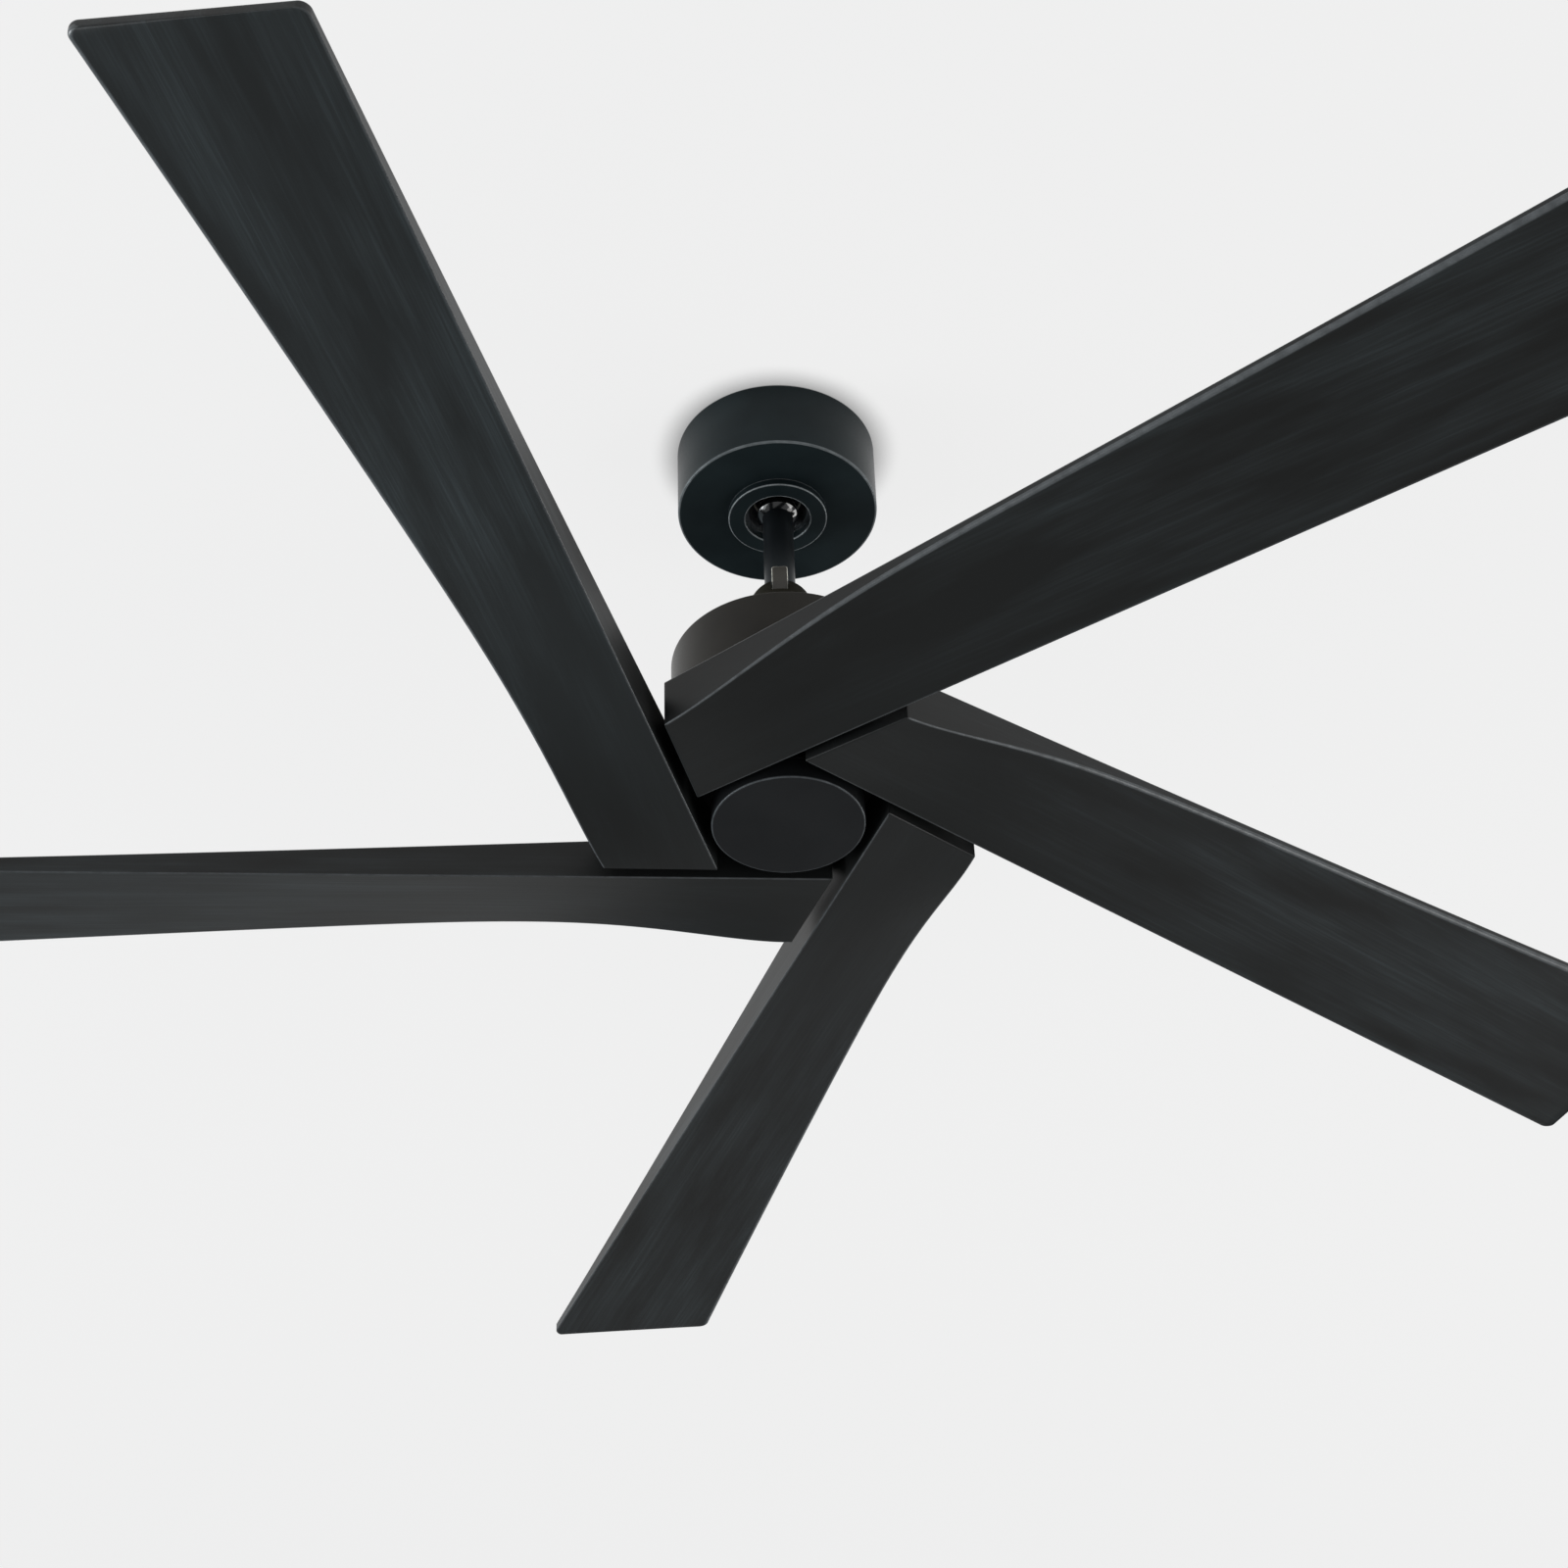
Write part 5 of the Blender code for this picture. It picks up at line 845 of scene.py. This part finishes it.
def make_ball():
    """Hanger ball with its pin slot.

    Its skin is an arc down to a waist, and its neck ends in an arc of the same radius.
    """
    bore = ROD_RADIUS + FIT_GAP
    top, waist = math.asin(BALL_TOP_FLAT / BALL_RADIUS), -math.acos(BALL_WAIST_RADIUS / BALL_RADIUS)
    shoulder, end = -math.acos(BALL_NECK_RADIUS / BALL_RADIUS), -math.acos(bore / BALL_RADIUS)
    profile = np.concatenate([
        [(bore, BALL_TOP_FLAT)], arc(0.0, 0.0, BALL_RADIUS, top, waist, BALL_POINTS),
        arc(0.0, -BALL_NECK_DROP, BALL_RADIUS, shoulder, end, NECK_POINTS),
    ])
    ball = turned("ball", profile, BALL_STEPS, base=-BALL_DROP)
    slot = (BALL_SLOT_REACH, BALL_SLOT_WIDTH, BALL_SLOT_HEIGHT)
    ball = cut_box(ball, slot, (0.0, 0.0, BALL_TOP_FLAT - BALL_SLOT_DROP - BALL_DROP))
    stand("polished_hanger_ball", ball, BALL_NYLON, "hanging_unit", "gloss_black", "hanger_ball")


def make_rod():
    """Open pipe from the ball down into the coupling."""
    inner, top, end = ROD_RADIUS - ROD_WALL, -ROD_TOP_DROP, level(ROD_END_H)
    corners = [(inner, top), (ROD_RADIUS, top), (ROD_RADIUS, end), (inner, end)]
    mesh = turned("hanging_pipe", rounded(corners, np.full(4, ROD_EDGE_RADIUS)), ROD_STEPS)
    stand("hanging_pipe", mesh, ROD_COAT, "hanging_unit", "black_coat", "down_rod")


def make_coupling():
    """Cast coupling: flange and collar turned in one, and two upright ears with softened edges."""
    bore, low, seat = ROD_RADIUS + FIT_GAP, level(COUPLING_LOW_H), level(COUPLING_LOW_H + FLANGE_THICKNESS)
    ledge, top, flange = level(ROD_END_H) - FIT_GAP, level(COLLAR_TOP_H), COLLAR_RADIUS + FLANGE_REACH
    corners = [(bore, top), (COLLAR_RADIUS, top), (COLLAR_RADIUS, seat), (flange, seat),
               (flange, low), (SHAFT_HOLE_RADIUS, low), (SHAFT_HOLE_RADIUS, ledge), (bore, ledge)]
    collar = turned("collar", rounded(corners, COLLAR_EDGE_RADII))
    for name, mesh in (("collar", collar), ("ear_front", ear_mesh(-1)), ("ear_back", ear_mesh(1))):
        stand(f"cast_coupling_{name}", mesh, EAR_COAT_AND_REFLECTION, "hanging_unit", "cast_aluminium", "motor_coupling")


def ear_mesh(side):
    """Upright strip with a round-cornered top, as loops across its thickness.

    Each loop is inset by radius (1 - sin a) while it moves radius (1 - cos a) in from its face.
    """
    half, corner = EAR_HALF_WIDTH, EAR_CORNER_RADIUS
    low, top = level(COLLAR_TOP_H - EAR_FOOT_DROP), level(COLLAR_TOP_H + EAR_RISE)
    turn = np.linspace(0.0, math.pi / 2, EDGE_POINTS)
    inset = EAR_EDGE_RADIUS * (1 - np.sin(turn))
    depth = EAR_EDGE_RADIUS * (1 - np.cos(turn))
    inset = np.concatenate([inset, inset[::-1]])[:, None]
    depth = np.concatenate([depth, EAR_THICKNESS - depth[::-1]])[:, None]
    bend = np.linspace(0.0, math.pi / 2, EAR_CORNER_POINTS)
    bend_x, bend_z = np.cos(bend) * (corner - inset), np.sin(bend) * (corner - inset)
    foot, foot_z = half - inset, low + inset
    x = np.concatenate([foot, half - corner + bend_x, corner - half - bend_x[:, ::-1], -foot], 1)
    z = np.concatenate([foot_z, top - corner + bend_z, top - corner + bend_z[:, ::-1], foot_z], 1)
    y = side * (ROD_RADIUS + EAR_GAP + depth) + 0 * x
    # Wear and painted highlight on the rounded edges, none on the faces and sides
    wear = np.ones((len(inset), x.shape[1], 1))
    wear[[0, -1]] = wear[EDGE_POINTS - 1:EDGE_POINTS + 1] = 0.0
    return skin("ear", np.stack([x, y, z], -1), cap_ends=True, marks={"edge_wear_and_highlight": wear})


def make_cover():
    """Dome over the coupling on a flared skirt, notched for the coupling's two ears.

    Each side of its wall is an arc, then a quarter ellipse out to the foot.
    """
    centre, foot_low = level(COLLAR_TOP_H - DOME_DROP), level(COUPLING_LOW_H)
    foot_r = DOME_RADIUS + SKIRT_REACH
    turn = np.linspace(0.0, math.pi / 2, SKIRT_POINTS)[1:]
    sides = []
    for radius, foot in ((DOME_RADIUS, foot_low + DOME_WALL), (DOME_RADIUS - DOME_WALL, foot_low)):
        top = arc(0.0, centre, radius, math.acos(DOME_HOLE_RADIUS / radius), 0.0, DOME_POINTS)
        flare_r, flare_z = foot_r - (foot_r - radius) * np.cos(turn), centre - (centre - foot) * np.sin(turn)
        sides.append(np.concatenate([top, np.stack([flare_r, flare_z], -1)]))
    mesh = turned("cover", np.concatenate([sides[0], sides[1][::-1]]))
    notch = (NOTCH_WIDTH, NOTCH_REACH, NOTCH_HEIGHT)
    mesh = cut_box(mesh, notch, (0.0, 0.0, centre + DOME_RADIUS - NOTCH_DEPTH + NOTCH_HEIGHT / 2))
    stand("flared_coupling_cover", mesh, COVER_COAT, "hanging_unit", "black_coat", "coupling_cover")


def make_housing():
    """Round motor housing, open below, with a softened top edge."""
    top, low, inner = level(HOUSING_TOP_H), level(HOUSING_LOW_H), HOUSING_RADIUS - HOUSING_WALL
    under = top - HOUSING_WALL
    corners = [(SHAFT_HOLE_RADIUS, top), (HOUSING_RADIUS, top), (HOUSING_RADIUS, low), (inner, low),
               (inner, under), (SHAFT_HOLE_RADIUS, under)]
    mesh = turned("housing", rounded(corners, HOUSING_EDGE_RADII))
    stand("round_motor_housing", mesh, MOTOR_COAT, "hanging_unit", "black_coat", "motor_housing")


def make_cap():
    """Bottom cap: a flat face with a softened edge, and a thin skirt above it."""
    low, face, top, inner = level(CAP_LOW_H), level(CAP_FACE_H), level(CAP_TOP_H), CAP_RADIUS - CAP_WALL
    corners = [(0.0, face), (inner, face), (inner, top), (CAP_RADIUS, top), (CAP_RADIUS, low), (0.0, low)]
    mesh = turned("cap", rounded(corners, CAP_EDGE_RADII, closed=False), closed=False)
    stand("bevelled_bottom_cap", mesh, CAP_COAT, "hanging_unit", "black_coat", "bottom_cap")


def dress_cad_nodes():
    """Give every CAD node its material; fasteners without one of their own are turned steel."""
    for name, node in NODES.items():
        if not node.data.materials:
            node.data.materials.append(None)
        for slot in node.material_slots:
            slot.material = CAD_FINISHES.get(name, TURNED_STEEL)


# ---------------------------------------------------------------- stage

def ceiling_paint(name):
    """Pale matt paint, seen from below only, with a tight dark line of shadow at the canopy.

    The line comes from how much of the sky within reach of a point is covered.
    """
    finish, tree = new_finish(name)
    rays = add_node(tree, "ShaderNodeLightPath").outputs
    near = add_node(tree, "ShaderNodeAmbientOcclusion", {"samples": SHADOW_SAMPLES, "Distance": SHADOW_REACH})
    shade = add_node(tree, RANGE, {**SHADOW_RANGE, "Value": near.outputs["AO"]})
    pale = add_node(tree, MIX, {"data_type": "RGBA", 0: shade, 6: SHADOW_LINE, 7: CEILING_GLOW}).outputs[2]
    glow = add_node(tree, "ShaderNodeEmission", {"Color": pale})
    lit = add_node(tree, "ShaderNodeBsdfDiffuse", {"Color": CEILING_PAINT})
    seen = rays["Is Camera Ray"]
    for ray in ("Is Glossy Ray", "Is Transmission Ray"):
        seen = add_node(tree, MATH, {"operation": "MAXIMUM", 0: seen, 1: rays[ray]})
    share = add_node(tree, RANGE, {"Value": seen, "To Max": CEILING_GLOW_SHARE})
    face = add_node(tree, "ShaderNodeMixShader", {0: share, 1: lit, 2: glow})
    behind = add_node(tree, "ShaderNodeNewGeometry").outputs["Backfacing"]
    clear = add_node(tree, "ShaderNodeBsdfTransparent")
    whole = add_node(tree, "ShaderNodeMixShader", {0: behind, 1: face, 2: clear})
    add_node(tree, SURFACE, {"Surface": whole})
    return finish


def make_ceiling():
    """A level square of ceiling that faces down."""
    half = CEILING_HALF_WIDTH
    mesh = bpy.data.meshes.new("ceiling")
    corners = [(-half, -half, 0.0), (-half, half, 0.0), (half, half, 0.0), (half, -half, 0.0)]
    mesh.from_pydata(corners, [], [(0, 1, 2, 3)])
    mesh.materials.append(ceiling_paint("pale_matt_ceiling_paint"))
    ceiling = bpy.data.objects.new("ceiling", mesh)
    bpy.context.scene.collection.objects.link(ceiling)


def make_room_light():
    """A plain room: grey behind the fan, paler to the sides and below, and palest in front."""
    world = bpy.data.worlds.new("room")
    bpy.context.scene.world = world
    world.use_nodes = True
    tree = world.node_tree
    tree.nodes.clear()
    way = add_node(tree, COORDINATES).outputs["Generated"]
    way = add_node(tree, "ShaderNodeSeparateXYZ", {"Vector": way}).outputs
    colour = ROOM_BEHIND
    for axis, start, end, paler in ROOM_FADES:
        share = add_node(tree, RANGE, {"Value": way[axis], "From Min": start, "From Max": end})
        colour = add_node(tree, MIX, {"data_type": "RGBA", 0: share, 6: colour, 7: paler}).outputs[2]
    back = add_node(tree, "ShaderNodeBackground", {"Color": colour})
    add_node(tree, "ShaderNodeOutputWorld", {"Surface": back})


def placed(name, data, right, up, back, place):
    """An object whose own X, Y and Z lie along right, up and back, at a place."""
    item = bpy.data.objects.new(name, data)
    bpy.context.scene.collection.objects.link(item)
    turn = np.eye(4)
    turn[:3] = np.stack([right, up, back, place], -1)
    item.matrix_world = Matrix(turn.tolist())
    return item


def add_softbox(name, way, size, power, colour):
    """A softbox along a direction from the fan, level and facing it."""
    way = np.array(way) / np.linalg.norm(way)
    side = np.cross((0.0, 0.0, 1.0), way)
    side /= np.linalg.norm(side)
    lamp = bpy.data.lights.new(name, "AREA")
    lamp.shape, lamp.energy, lamp.color = "RECTANGLE", power, colour
    lamp.size, lamp.size_y = size
    box = placed(name, lamp, side, np.cross(way, side), way, FAN_MIDDLE + SOFTBOX_DISTANCE * way)
    box.visible_camera = False


def make_camera():
    """Camera at the photograph's place: forward, then right and down turned by the roll."""
    forward = np.array([math.cos(CAMERA_PITCH) * math.sin(CAMERA_TURN),
                        math.cos(CAMERA_PITCH) * math.cos(CAMERA_TURN), math.sin(CAMERA_PITCH)])
    level_right = np.array([math.cos(CAMERA_TURN), -math.sin(CAMERA_TURN), 0.0])
    level_down = np.cross(forward, level_right)
    right = math.cos(CAMERA_ROLL) * level_right + math.sin(CAMERA_ROLL) * level_down
    down = -math.sin(CAMERA_ROLL) * level_right + math.cos(CAMERA_ROLL) * level_down
    data = bpy.data.cameras.new("camera")
    data.sensor_width = SENSOR_WIDTH
    data.lens = SENSOR_WIDTH * FOCAL_PIXELS / PHOTO_PIXELS
    data.clip_end = VIEW_DEPTH
    bpy.context.scene.camera = placed("camera", data, right, -down, -forward, CAMERA_PLACE)


make_camera()
make_blades()
make_screws()
make_canopy()
make_trim_ring()
make_ball()
make_rod()
make_coupling()
make_cover()
make_housing()
make_cap()
dress_cad_nodes()
make_ceiling()
make_room_light()
for softbox in SOFTBOXES:
    add_softbox(*softbox)
bpy.context.scene.view_settings.view_transform = "Standard"
